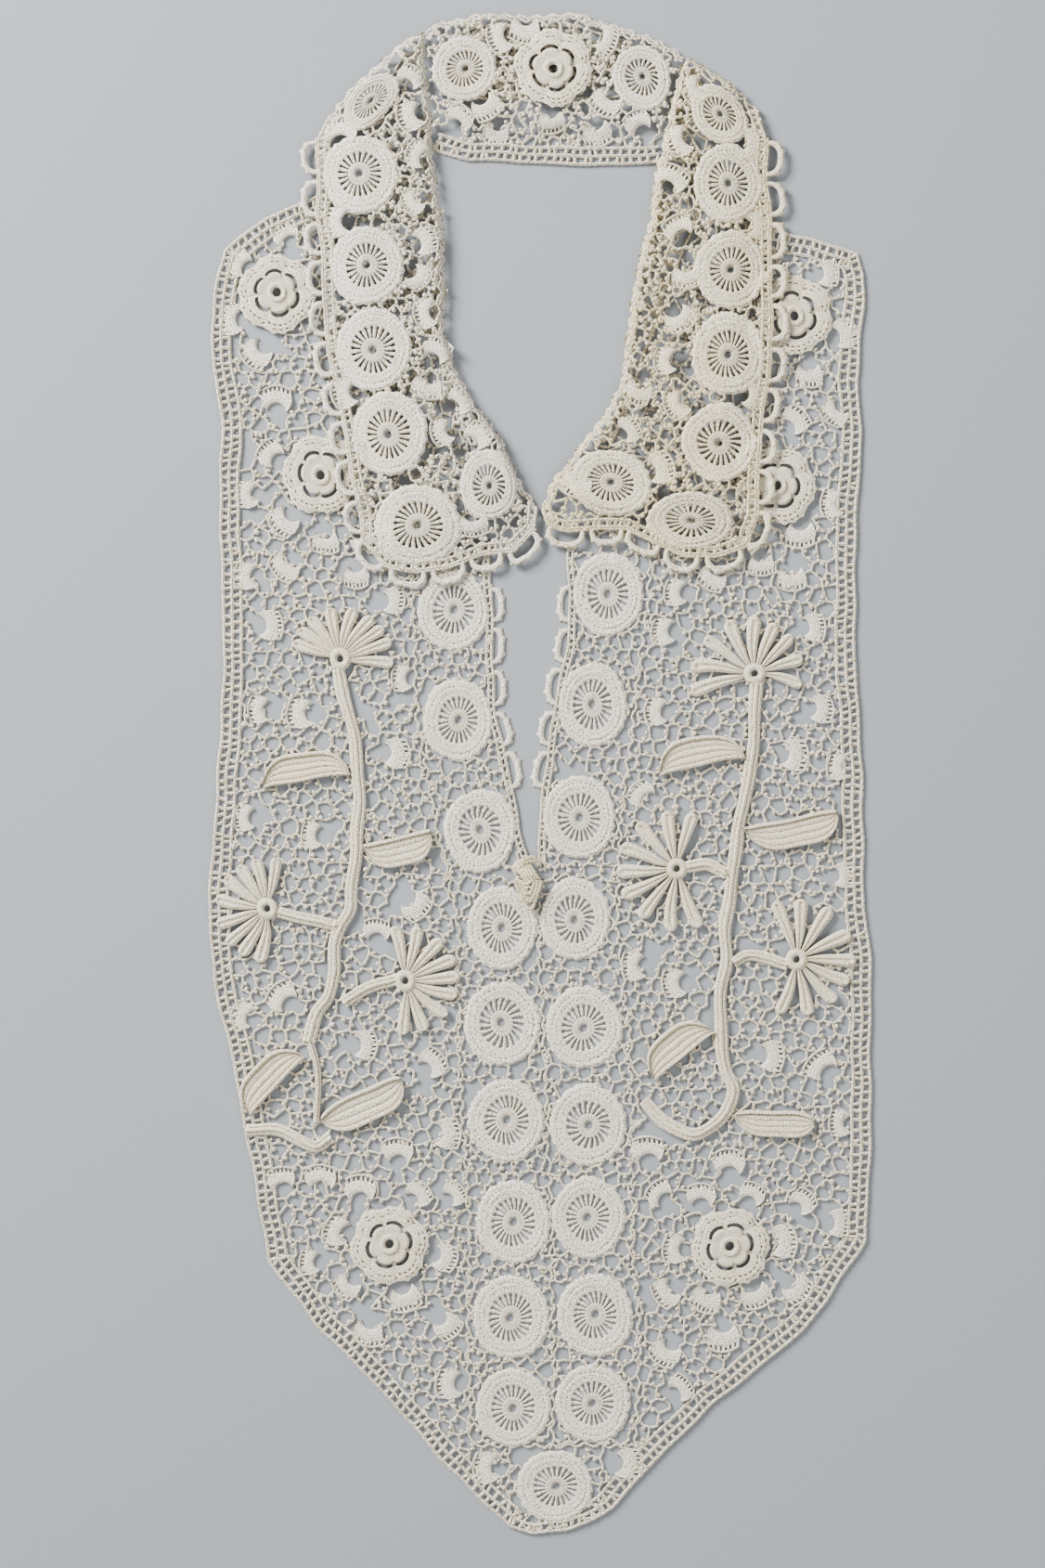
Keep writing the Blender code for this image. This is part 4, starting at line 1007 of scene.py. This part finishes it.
BAND_SIDE_RIGHT = [
    (49, 104), (49.5, 81), (43, 31), (37, -20), (35, -66), (40.2, -115), (42, -159),
    (41.5, -201), (45, -245), (44, -285), (44, -305),
]
def meander(line):
    """A line that wanders from side to side, as chains worked between two parts do."""
    spread = evenly(line, 2.2)
    left = sides_of(spread)
    return [(x + nx * 1.1 * math.sin(i * 1.9 + 0.7 * math.sin(i)), y + ny * 1.1 * math.sin(i * 1.9))
            for i, ((x, y), (nx, ny)) in enumerate(zip(spread, left))]


WINDING_LEFT = meander(BAND_SIDE_LEFT)
WINDING_RIGHT = meander(BAND_SIDE_RIGHT)
SLIT_LEFT = [(-24, 104), (-22, 74), (-22.5, 50), (-20.2, 24), (-14, 0), (-9.8, -26), (-3.2, -46)]
SLIT_RIGHT = [(13, 104), (14.2, 81), (13.5, 58), (7.3, 31), (4, 8), (1, -20), (0.2, -44)]
CENTRE_SEAM = meander([(-0.5, -58), (-0.5, -70), (1.5, -113), (3.5, -157), (5, -203), (6, -246), (6, -305)])
POINT_PANEL = [(-14, -305.3), (-14, -340.6), (-4, -344), (12, -343), (23, -339), (28, -336.4), (28, -305.3)]
BORDER = 9.4
RAILS = (0.8, 4.6, 8.6)
RUNG_PITCH = 3.7


def disc_room(rows, extra):
    return [((row[0], row[1], row[0], row[1]), row[2] + extra) for row in rows]


def wheel_room(wheels):
    """Rounded rooms that the ground leaves for wheels: rows of stretch, radius."""
    room = []
    for x, y, wide, high, turn in wheels:
        lean = math.radians(turn) + (math.pi / 2 if high > wide else 0)
        reach = abs(high - wide)
        dx, dy = math.cos(lean) * reach, math.sin(lean) * reach
        room.append(((x - dx, y - dy, x + dx, y + dy), min(wide, high)))
    return room


def spray_room():
    """Rooms that the ground leaves for flowers, leaves and cords: rows of stretch, radius."""
    room = []
    for row in FLOWERS:
        hub_x, hub_y = row[1], row[2]
        room.append(((hub_x, hub_y, hub_x, hub_y), HUB_RADIUS))
        for bearing, length in petals(row):
            reach = length - PETAL_HALF
            angle = math.radians(bearing)
            end = (hub_x + reach * math.cos(angle), hub_y + reach * math.sin(angle))
            room.append(((hub_x, hub_y, *end), PETAL_HALF))
    for _, base_x, base_y, tip_x, tip_y, left, right in LEAVES:
        dx, dy = tip_x - base_x, tip_y - base_y
        length = math.hypot(dx, dy)
        lean = (left - right) / 2
        for share, width in ((0.18, 0.55), (0.4, 0.95), (0.6, 0.95), (0.82, 0.55)):
            x = base_x + dx * share - dy / length * lean * width
            y = base_y + dy * share + dx / length * lean * width
            room.append(((x, y, x, y), (left + right) / 2 * width))
    for _, half, line in CORDS:
        room += [(segment, half) for segment in stretches(line)]
    return room


net_left = PANEL_LEFT + [(-14.3, -305.3)] + WINDING_LEFT[:0:-1]
net_left += [(-60.3, 104.3), (-23.5, 104.3), (-23.5, 125)]
net_right = PANEL_RIGHT + [(28.3, -305.3)] + WINDING_RIGHT[:0:-1]
net_right += [(49.3, 104.3), (24, 104.3), (24, 125)]
spray = spray_room()
thread = random.Random(5)
for side, region, edge, way, roses, fans, band, seed in (
    ("left", net_left, PANEL_LEFT, 1, ROSES_LEFT, FANS_LEFT, WINDING_LEFT, 11),
    ("right", net_right, PANEL_RIGHT, -1, ROSES_RIGHT, FANS_RIGHT, WINDING_RIGHT, 12),
):
    rooms = disc_room(roses, -1.0) + spray + fan_room(fans)
    shapes = ground(region, [(edge, BORDER)], rooms, seed, voids=hollows(fans))
    shapes += fans_at(fans)
    shapes.append(filet(edge, way, RAILS, RUNG_PITCH, FILET_UP, thread))
    shapes.append(chains([chain_line(evenly(band, 1.5), 0.56, CHAIN_UP, thread)]))
    piece = crocheted(f"net_{side}_crochet", shapes, IVORY)
    on_body(piece, "cotton_ivory", f"net_{side}")


# Bands of wheels down the slit and the middle, with a little ground between the wheels, and the
# single wheel that fills the point.
band_left = WINDING_LEFT + CENTRE_SEAM[::-1] + SLIT_LEFT[::-1]
band_right = WINDING_RIGHT + CENTRE_SEAM[::-1] + SLIT_RIGHT[::-1]
for side, region, wheels, slit, way, seed in (
    ("left", band_left, WHEELS_LEFT, SLIT_LEFT, 1, 13),
    ("right", band_right, WHEELS_RIGHT, SLIT_RIGHT, -1, 14),
):
    shapes = wheels_at(wheels)
    shapes += ground(region, [], wheel_room(wheels), seed, pitch=7.0)
    shapes.append(filet(slit, way, (-1.8, 0.5), 3.2, FILET_UP, thread, radius=0.58))
    if side == "left":
        shapes.append(chains([chain_line(evenly(CENTRE_SEAM, 1.5), BAR_RADIUS, CHAIN_UP, thread)]))
    piece = crocheted(f"wheel_band_{side}_crochet", shapes, IVORY)
    on_body(piece, "cotton_ivory", f"wheel_band_{side}")
point_edge = POINT_PANEL[1:6]
shapes = wheels_at(POINT_WHEEL)
shapes += ground(POINT_PANEL, [(point_edge, 2.0)], wheel_room(POINT_WHEEL), 15, pitch=6.0)
shapes.append(filet(point_edge, 1, (0.8, 4.4), RUNG_PITCH, FILET_UP, thread))
for line in ([(-32, -304), (44, -304)], [(-14, -304), (-14, -334)], [(28, -304), (28, -330)]):
    shapes.append(chains([chain_line(evenly(meander(line), 1.5), BAR_RADIUS, CHAIN_UP, thread)]))
point_piece = on_body(crocheted("point_wheel_crochet", shapes, IVORY), "cotton_ivory", "point_wheel")


# Turned-down collar: each fall is folded at the neck and lies on the panel, low along its free
# edge and over the panel's roses, and higher where the hidden stand lies under it.
FALL_FOLD_LEFT = [
    (-1, 121), (-9, 133), (-17, 150), (-24, 160), (-30, 169), (-38, 181), (-42, 197), (-43, 210),
    (-43, 232), (-44, 253), (-47, 273), (-50, 304), (-52, 334), (-61, 332), (-72, 322),
    (-85, 310), (-96, 297),
]
FALL_FREE_LEFT = [
    (-100, 287), (-100, 253), (-98, 237), (-97, 216), (-95, 189), (-91, 174), (-88, 154),
    (-84, 133), (-80, 115), (-80, 105), (-70, 94), (-57, 91), (-42, 93), (-26, 99), (-11, 101),
    (-2, 111),
]
FALL_FOLD_RIGHT = [
    (1, 120), (6, 133), (18, 148), (26, 158), (31, 165), (37, 178), (39, 195), (41, 211),
    (44, 231), (49, 249), (53, 275), (61, 310), (66, 324), (82, 315), (92, 307), (98, 300),
]
FALL_FREE_RIGHT = [
    (102, 287), (102, 266), (104, 248), (104, 219), (104, 189), (101, 165), (99, 150), (98, 130),
    (98, 116), (93, 104), (80, 98), (66, 98.5), (52, 104), (40, 111), (25, 111), (10, 110),
    (3, 113),
]
# Creases: both ends, how much each rises, and how far it spreads to a side.
CREASES_LEFT = [(-56, 224, -34, 116, -1.1, 9), (-38, 196, -10, 132, 2.0, 9), (-96, 160, -84, 120, 0.8, 9)]
CREASES_RIGHT = [(60, 250, 52, 170, -0.9, 9), (62, 128, 96, 128, 1.6, 9), (14, 124, 44, 118, 1.8, 9)]
FANS_FALL_LEFT = [
    (-58, 314, 60), (-58, 296, 200), (-55, 279, 150), (-57, 257, 210), (-52, 240, 20), (-55, 224, 320),
    (-51, 207, 190), (-46, 191, 60), (-51, 174, 250), (-36, 168, 40), (-44, 154, 200), (-28, 152, 50),
    (-30, 112, 270), (-90, 290, 90), (-91, 249, 180), (-88, 172, 190),
]
FANS_FALL_RIGHT = [
    (66, 224, 270), (63, 205, 300), (57, 186, 180), (44, 172, 250), (62, 166, 210), (40, 155, 30),
    (62, 246, 120), (60, 268, 60), (63, 285, 200), (70, 308, 200), (54, 138, 20), (95, 284, 0),
    (98, 247, 0), (96, 170, 350), (16, 130, 240),
]
FREE_LIFT = 2.5
FALL_LIFT = 6.0
FALL_THICK = 1.3
FOLD_RADIUS = 6.0
BACK_LIFT = 3.2
SEAM = 0.3


def ramp(value, low, high):
    """0 below low, 1 above high, and a soft step between."""
    t = np.clip((value - low) / (high - low), 0, 1)
    return t * t * (3 - 2 * t)


def rose_lift(xs, ys):
    """How high a layer that passes over the panel's roses has to lie."""
    lift = np.zeros(len(xs))
    for rose_x, rose_y, radius in ROSES_LEFT + ROSES_RIGHT:
        far = np.hypot(xs - rose_x, ys - rose_y)
        crown = MOTIF_BASE + 3.8
        rim = MOTIF_BASE + 2.9
        over = crown + (rim - crown) * ramp(far, radius * 0.35, radius * 0.7)
        lift = np.maximum(lift, over * (1 - ramp(far, radius + 2, radius + 14)))
    return lift


def fall_surface(fold, free, creases):
    """Height of the underside of a fall at points of the plan."""
    edge = [fold[-1]] + free + [fold[0]]

    def height(xs, ys):
        lift = FREE_LIFT + (FALL_LIFT - FREE_LIFT) * ramp(line_distance(xs, ys, edge), 0, 20)
        for ax, ay, bx, by, rise, spread in creases:
            lift = lift + rise * (1 - ramp(away(xs, ys, [((ax, ay, bx, by), 0.0)]), 0, spread))
        lift = np.maximum(lift, rose_lift(xs, ys))
        share = np.clip(line_distance(xs, ys, fold) / FOLD_RADIUS, 0, 1)
        return lift * np.sqrt(1 - (1 - share) ** 2)

    return height


surfaces = {}
for side, fold, free, creases, wheels, fans, way, cotton, slot, seed in (
    ("left", FALL_FOLD_LEFT, FALL_FREE_LEFT, CREASES_LEFT, FALL_WHEELS_LEFT, FANS_FALL_LEFT, 1, IVORY,
     "cotton_ivory", 16),
    ("right", FALL_FOLD_RIGHT, FALL_FREE_RIGHT, CREASES_RIGHT, FALL_WHEELS_RIGHT, FANS_FALL_RIGHT, -1, TONED,
     "cotton_toned", 17),
):
    surface = fall_surface(fold, free, creases)
    surfaces[side] = surface
    edge = [fold[-1]] + free + [fold[0]]
    rooms = wheel_room(wheels) + fan_room(fans)
    shapes = wheels_at(wheels)
    shapes += ground(fold + free, [], rooms, seed, pitch=6.3, voids=hollows(fans), pairs=0.7)
    shapes += fans_at(fans)
    shapes.append(filet(edge, way, (0.5, 3.6), 3.4, FILET_UP, thread))
    for depth in (0.9, 2.4):
        turned = meander(offset_line(fold, way * depth))
        shapes.append(chains([chain_line(evenly(turned, 1.3), BAR_RADIUS, CHAIN_UP, thread)]))
    piece = crocheted(f"fall_{side}_crochet", shapes, cotton, surface)
    on_body(piece, slot, f"fall_{side}")


# Stand: the inner layers of the collar, hidden under each fall and seen only through its gaps and
# along the neck. A closer ground lies over the height of its solid.
STAND_LEFT = [
    (-55.5, 326), (-53, 304), (-50.2, 273), (-47.3, 253), (-46.2, 232), (-46.2, 210), (-45.2, 196),
    (-41.2, 182), (-33.4, 167.5), (-27.4, 158), (-22.5, 149), (-31, 148), (-75, 272.6), (-79, 276),
    (-77, 296), (-69, 312), (-61, 325),
]
STAND_RIGHT = [
    (69.5, 318), (64.5, 309), (56.6, 274), (52.6, 248), (47.6, 230), (44.6, 210), (42.6, 194),
    (41, 177), (34.6, 163), (30, 155.5), (25, 148.5), (31.6, 147.6), (76, 264.6), (81, 268),
    (81, 290), (77, 303), (73, 312),
]
for side, outline, cotton, slot, seed in (
    ("left", STAND_LEFT, IVORY, "cotton_ivory", 21),
    ("right", STAND_RIGHT, TONED, "cotton_toned", 22),
):
    edge = outline + outline[:1]
    layers = ground(outline, [], [], seed, pitch=6.4)
    layers.append(chains([chain_line(evenly(edge, 1.7), 0.6, CHAIN_UP, thread)]))

    def stand_height(xs, ys, edge=edge):
        return 2.2 * ramp(line_distance(xs, ys, edge), 0, 4)

    piece = crocheted(f"stand_{side}_crochet", layers, cotton, stand_height)
    on_body(piece, slot, f"stand_{side}")


# Back of the collar, seen on its inside: its squared border along the neck, a rose at the middle,
# and the fall folded down behind it, of which the loops show below the fold.
BACK_TOP = [
    (65.4, 324), (51, 333), (42, 336), (28, 339), (18, 344), (5, 342.5), (-10, 343), (-28, 344),
    (-36, 341), (-48, 338), (-51.5, 334.4),
]
BACK_REST = [
    (-49.5, 304), (-46.5, 281), (-32, 277), (-10, 276), (23, 275), (52.4, 275.4), (60.4, 310),
]
BACK_BEHIND = [
    (54, 318), (48, 326), (40, 331), (27, 334), (17, 338), (5, 337.5), (-10, 338), (-28, 338.5),
    (-34, 335.5), (-42, 329), (-45, 307), (-20, 305), (20, 305), (53, 307),
]
FANS_BACK = [
    (-18, 332, 200), (-24, 301, 300), (-36, 296, 60), (-20, 289, 250), (5, 294, 270), (26, 289, 280),
    (30, 303, 230), (44, 294, 120), (30, 331, 340), (-7, 336, 260),
]
WHEELS_BACK = [(-34, 318, 14.5, 15, 0), (46, 314, 13, 15, 15)]


def back_surface(xs, ys):
    lift = BACK_LIFT * ramp(ys, 286, 296)
    share = np.clip(line_distance(xs, ys, BACK_TOP) / FOLD_RADIUS, 0, 1)
    return lift * np.sqrt(1 - (1 - share) ** 2)


neckline = [(-48, 281.4)] + BACK_REST[1:6] + [(54, 275.6)]
rooms = disc_room([BACK_ROSE], -1.0) + fan_room(FANS_BACK) + wheel_room(WHEELS_BACK)
shapes = ground(BACK_TOP + BACK_REST, [(neckline, 8.0)], rooms, 18, pitch=5.8, voids=hollows(FANS_BACK), pairs=0.7)
shapes += fans_at(FANS_BACK) + wheels_at(WHEELS_BACK)
shapes.append(filet(neckline, 1, (0.7, 4.2, 7.6), RUNG_PITCH, FILET_UP, thread))
for depth in (0.9, 2.4):
    turned = meander(offset_line(BACK_TOP, depth))
    shapes.append(chains([chain_line(evenly(turned, 1.3), BAR_RADIUS, CHAIN_UP, thread)]))
back_piece = on_body(
    crocheted("back_stand_crochet", shapes, IVORY, back_surface), "cotton_ivory", "back_stand")

shapes = ground(BACK_BEHIND, [], [], 23, pitch=5.4, up=1.2, pairs=0.7)
shapes.append(chains([chain_line(evenly(BACK_BEHIND + BACK_BEHIND[:1], 1.7), 0.6, 1.2, thread)]))
behind_piece = on_body(
    crocheted("back_fall_behind_crochet", shapes, IVORY), "cotton_ivory", "back_fall_behind")

rose_x, rose_y, radius = BACK_ROSE
rose = placed(ROSE, rose_x, rose_y, 12, radius / 17.5, radius / 17.5, BACK_LIFT + FALL_THICK + SEAM)
back_rose_piece = on_body(crocheted("rose_back_crochet", [rose], CREAM), "cotton_cream", "rose_back")


# Picot loops: D-shaped rings of close stitches along the slit and round the falls, with small
# picots on their outer side, crocheted on last.
LOOP_DEPTH_COLLAR = 8.0
LOOP_DEPTH_SLIT = 6.4
LOOP_LENGTH = 18.5
LOOP_HALF = 1.35
SLIT_LOOPS_LEFT = [(-22, 86), (-22, 74), (-22.5, 50), (-20.2, 24), (-14, 0), (-12.6, -8)]
SLIT_LOOPS_RIGHT = [(14, 86), (14.2, 81), (13.5, 58), (7.3, 31), (4, 8), (2.2, -8)]


def picot_loops(line, way, depth):
    """A row of loops along a line, standing out of it to the side that way names."""
    parts = stretches(line)
    lengths = [math.hypot(bx - ax, by - ay) for ax, ay, bx, by in parts]
    count = round(sum(lengths) / LOOP_LENGTH)
    step = sum(lengths) / count

    def at(along, out):
        for (ax, ay, bx, by), length in zip(parts, lengths):
            if along <= length or (bx, by) == tuple(line[-1]):
                ux, uy = (bx - ax) / length, (by - ay) / length
                return ax + ux * along - uy * out * way, ay + uy * along + ux * out * way
            along -= length

    shapes = []
    for i in range(count):
        middle, half_long = (i + 0.5) * step, step * 0.45
        columns = 40

        def plan(u, v, middle=middle, half_long=half_long):
            angle = math.pi * (1 - u)
            bump = 1.0 * max(0.0, math.cos(angle * 10)) ** 2 * (v > 0.9) * (0.08 < u < 0.92)
            inset = LOOP_HALF * 2 * (1 - v) - bump
            c, s = math.cos(angle), math.sin(angle)
            across = math.copysign(abs(c) ** 0.8, c) * (half_long - inset * 0.9)
            out = 0.3 + s ** 0.72 * (depth - 0.3 - inset)
            return at(middle + across, out)

        def rise(u, v):
            closed = math.sin(math.pi * min(1.0, max(0.0, v))) ** 0.5
            return 0.3 + 1.1 * closed + (0.1 if round(u * columns) % 2 else -0.1) * closed

        shapes.append(patch(columns, 5, plan, rise, (26, 2.4)))
    base = smooth_line([at(along, 0.5) for along in np.linspace(0, sum(lengths) - 0.01, count * 4)], 1.7)
    shapes.append(chains([chain_line(base, 0.6, FILET_UP, thread)]))
    return shapes


def over_roses(xs, ys):
    return np.maximum(FREE_LIFT, rose_lift(xs, ys))


for side, line, way in (("left", SLIT_LOOPS_LEFT, 1), ("right", SLIT_LOOPS_RIGHT, -1)):
    piece = crocheted(f"slit_loops_{side}_crochet", picot_loops(line, way, LOOP_DEPTH_SLIT), IVORY)
    on_body(piece, "cotton_ivory", f"slit_loops_{side}")
for side, free, way, cotton, slot in (
    ("left", FALL_FREE_LEFT, -1, IVORY, "cotton_ivory"),
    ("right", FALL_FREE_RIGHT, 1, TONED, "cotton_toned"),
):
    shapes = picot_loops(free, way, LOOP_DEPTH_COLLAR)
    piece = crocheted(f"fall_loops_{side}_crochet", shapes, cotton, over_roses)
    on_body(piece, slot, f"fall_loops_{side}")


# Tied thread ends at the foot of the slit: a crumpled bunch of yellowed chain.
KNOT_CORD = 0.82
KNOT_LOW, KNOT_HIGH = 2.6, 5.2
KNOT_TOP, KNOT_TIP = (-5.7, -48.0), (-4.4, -61.4)
KNOT_WIDE = 5.9
KNOT_BAGS, KNOT_ROWS, KNOT_TAPE = 3, 4, 5
KNOT_TAPE_ENDS = [(-9.6, -40.8), (-6.2, -44.0), (-2.2, -50.6)]
KNOT_BRIDGE = [(-11.4, -43.2), (-8.0, -40.2), (-3.4, -38.6), (-0.8, -40.4)]
KNOT_TAIL = [(-2.2, -53.8), (-0.4, -55.2), (1.2, -55.4)]


def knot_cord(points, low, high, radius=KNOT_CORD):
    """A lumpy cord through points of the knot, at height low at its ends and high midway."""
    line = smooth_line(points, 0.95)
    last = len(line) - 1
    return [(x, y, low + (high - low) * math.sin(math.pi * i / last), radius * (1.13 if i % 2 else 0.88))
            for i, (x, y) in enumerate(line)]


rng = random.Random(3)
tangle = []
for i in range(KNOT_BAGS):
    share = 1 - 0.27 * i
    hung = []
    for j in range(-4, 5):
        t = j / 4
        deep = (1 - abs(t) ** 1.9) * share
        hung.append((KNOT_TOP[0] + KNOT_WIDE * share * t * (1 - 0.3 * deep) + (KNOT_TIP[0] - KNOT_TOP[0]) * deep,
                     KNOT_TOP[1] + (KNOT_TIP[1] - KNOT_TOP[1]) * deep + rng.uniform(-0.3, 0.3)))
    tangle.append(knot_cord(hung, KNOT_HIGH, KNOT_HIGH - 0.9 + 0.4 * i))
for i in range(KNOT_ROWS):
    wide, down = KNOT_WIDE * (0.98 - 0.2 * i), 0.9 + 2.5 * i
    phase = rng.uniform(0, 6)
    across = [(KNOT_TOP[0] + 0.25 * i + wide * t / 4, KNOT_TOP[1] - down - 0.8 * math.sin(1.5 * t + phase))
              for t in range(-4, 5)]
    tangle.append(knot_cord(across, KNOT_LOW + 0.6, KNOT_HIGH + 0.6 - 0.35 * i))
for i in range(KNOT_TAPE):
    side = 1.35 * (i - (KNOT_TAPE - 1) / 2)
    tape = [(x + 0.75 * side, y + 0.65 * side) for x, y in KNOT_TAPE_ENDS]
    tangle.append(knot_cord(tape, KNOT_LOW + 0.3, KNOT_HIGH - 0.25 * abs(side)))
for side in (-0.75, 0.75):
    tangle.append(knot_cord([(x, y + side) for x, y in KNOT_BRIDGE], KNOT_LOW, KNOT_HIGH - 0.6))
tangle.append(knot_cord(KNOT_TAIL, KNOT_LOW + 0.4, KNOT_LOW + 0.9, radius=0.5))
knot_piece = on_body(
    crocheted("front_knot_crochet", [chains(tangle, 1)], [TONED[0]]), "cotton_toned", "front_knot")


left_trims = [rose_pieces["left", i] for i in range(3)]
left_trims += [flower_pieces[name] for name in flower_pieces if "left" in name]
left_trims += [leaf_pieces[name] for name in leaf_pieces if "left" in name]
left_trims += [cord_pieces[name] for name in cord_pieces if "left" in name]
right_trims = [rose_pieces["right", i] for i in range(3)]
right_trims += [flower_pieces[name] for name in flower_pieces if "right" in name]
right_trims += [leaf_pieces[name] for name in leaf_pieces if "right" in name]
right_trims += [cord_pieces[name] for name in cord_pieces if "right" in name]


# Studio: a plain pale floor, a large soft light from the upper left, a fill, and a pale sky.
FLOOR_HALF = 4.0
bm = bmesh.new()
bmesh.ops.create_grid(bm, x_segments=1, y_segments=1, size=FLOOR_HALF)
floor_mesh = bpy.data.meshes.new("floor")
bm.to_mesh(floor_mesh)
bm.free()
floor_mesh.transform(Matrix.Translation((0, 0, -0.0002)))
floor = bpy.data.objects.new("floor", floor_mesh)
bpy.context.scene.collection.objects.link(floor)
paper = bpy.data.materials.new("pale_matt_paper")
paper.use_nodes = True
paper.node_tree.nodes["Principled BSDF"].inputs["Base Color"].default_value = linear("84888C")
paper.node_tree.nodes["Principled BSDF"].inputs["Roughness"].default_value = 0.9
floor_mesh.materials.append(paper)

for name, place, size, power in (
    ("key_light", (-1.4, 1.2, 1.15), 0.8, 182.0),
    ("fill_light", (1.5, -1.0, 1.7), 2.0, 40.0),
):
    light = bpy.data.lights.new(name, "AREA")
    light.shape = "SQUARE"
    light.size = size
    light.energy = power
    holder = bpy.data.objects.new(name, light)
    holder.location = place
    holder.rotation_euler = (-Vector(place)).to_track_quat("-Z", "Y").to_euler()
    bpy.context.scene.collection.objects.link(holder)
world = bpy.data.worlds.new("studio")
world.use_nodes = True
world.node_tree.nodes["Background"].inputs["Color"].default_value = (1, 1, 1, 1)
world.node_tree.nodes["Background"].inputs["Strength"].default_value = 0.6
bpy.context.scene.world = world

# Camera: straight over the collar, a little below and left of its middle, as the photograph.
camera = bpy.data.cameras.new("camera")
camera.lens = 85
camera.sensor_width = 36
camera.clip_end = 20
viewer = bpy.data.objects.new("camera", camera)
viewer.location = (-0.0078, -0.0048, 1.675)
bpy.context.scene.collection.objects.link(viewer)
bpy.context.scene.camera = viewer
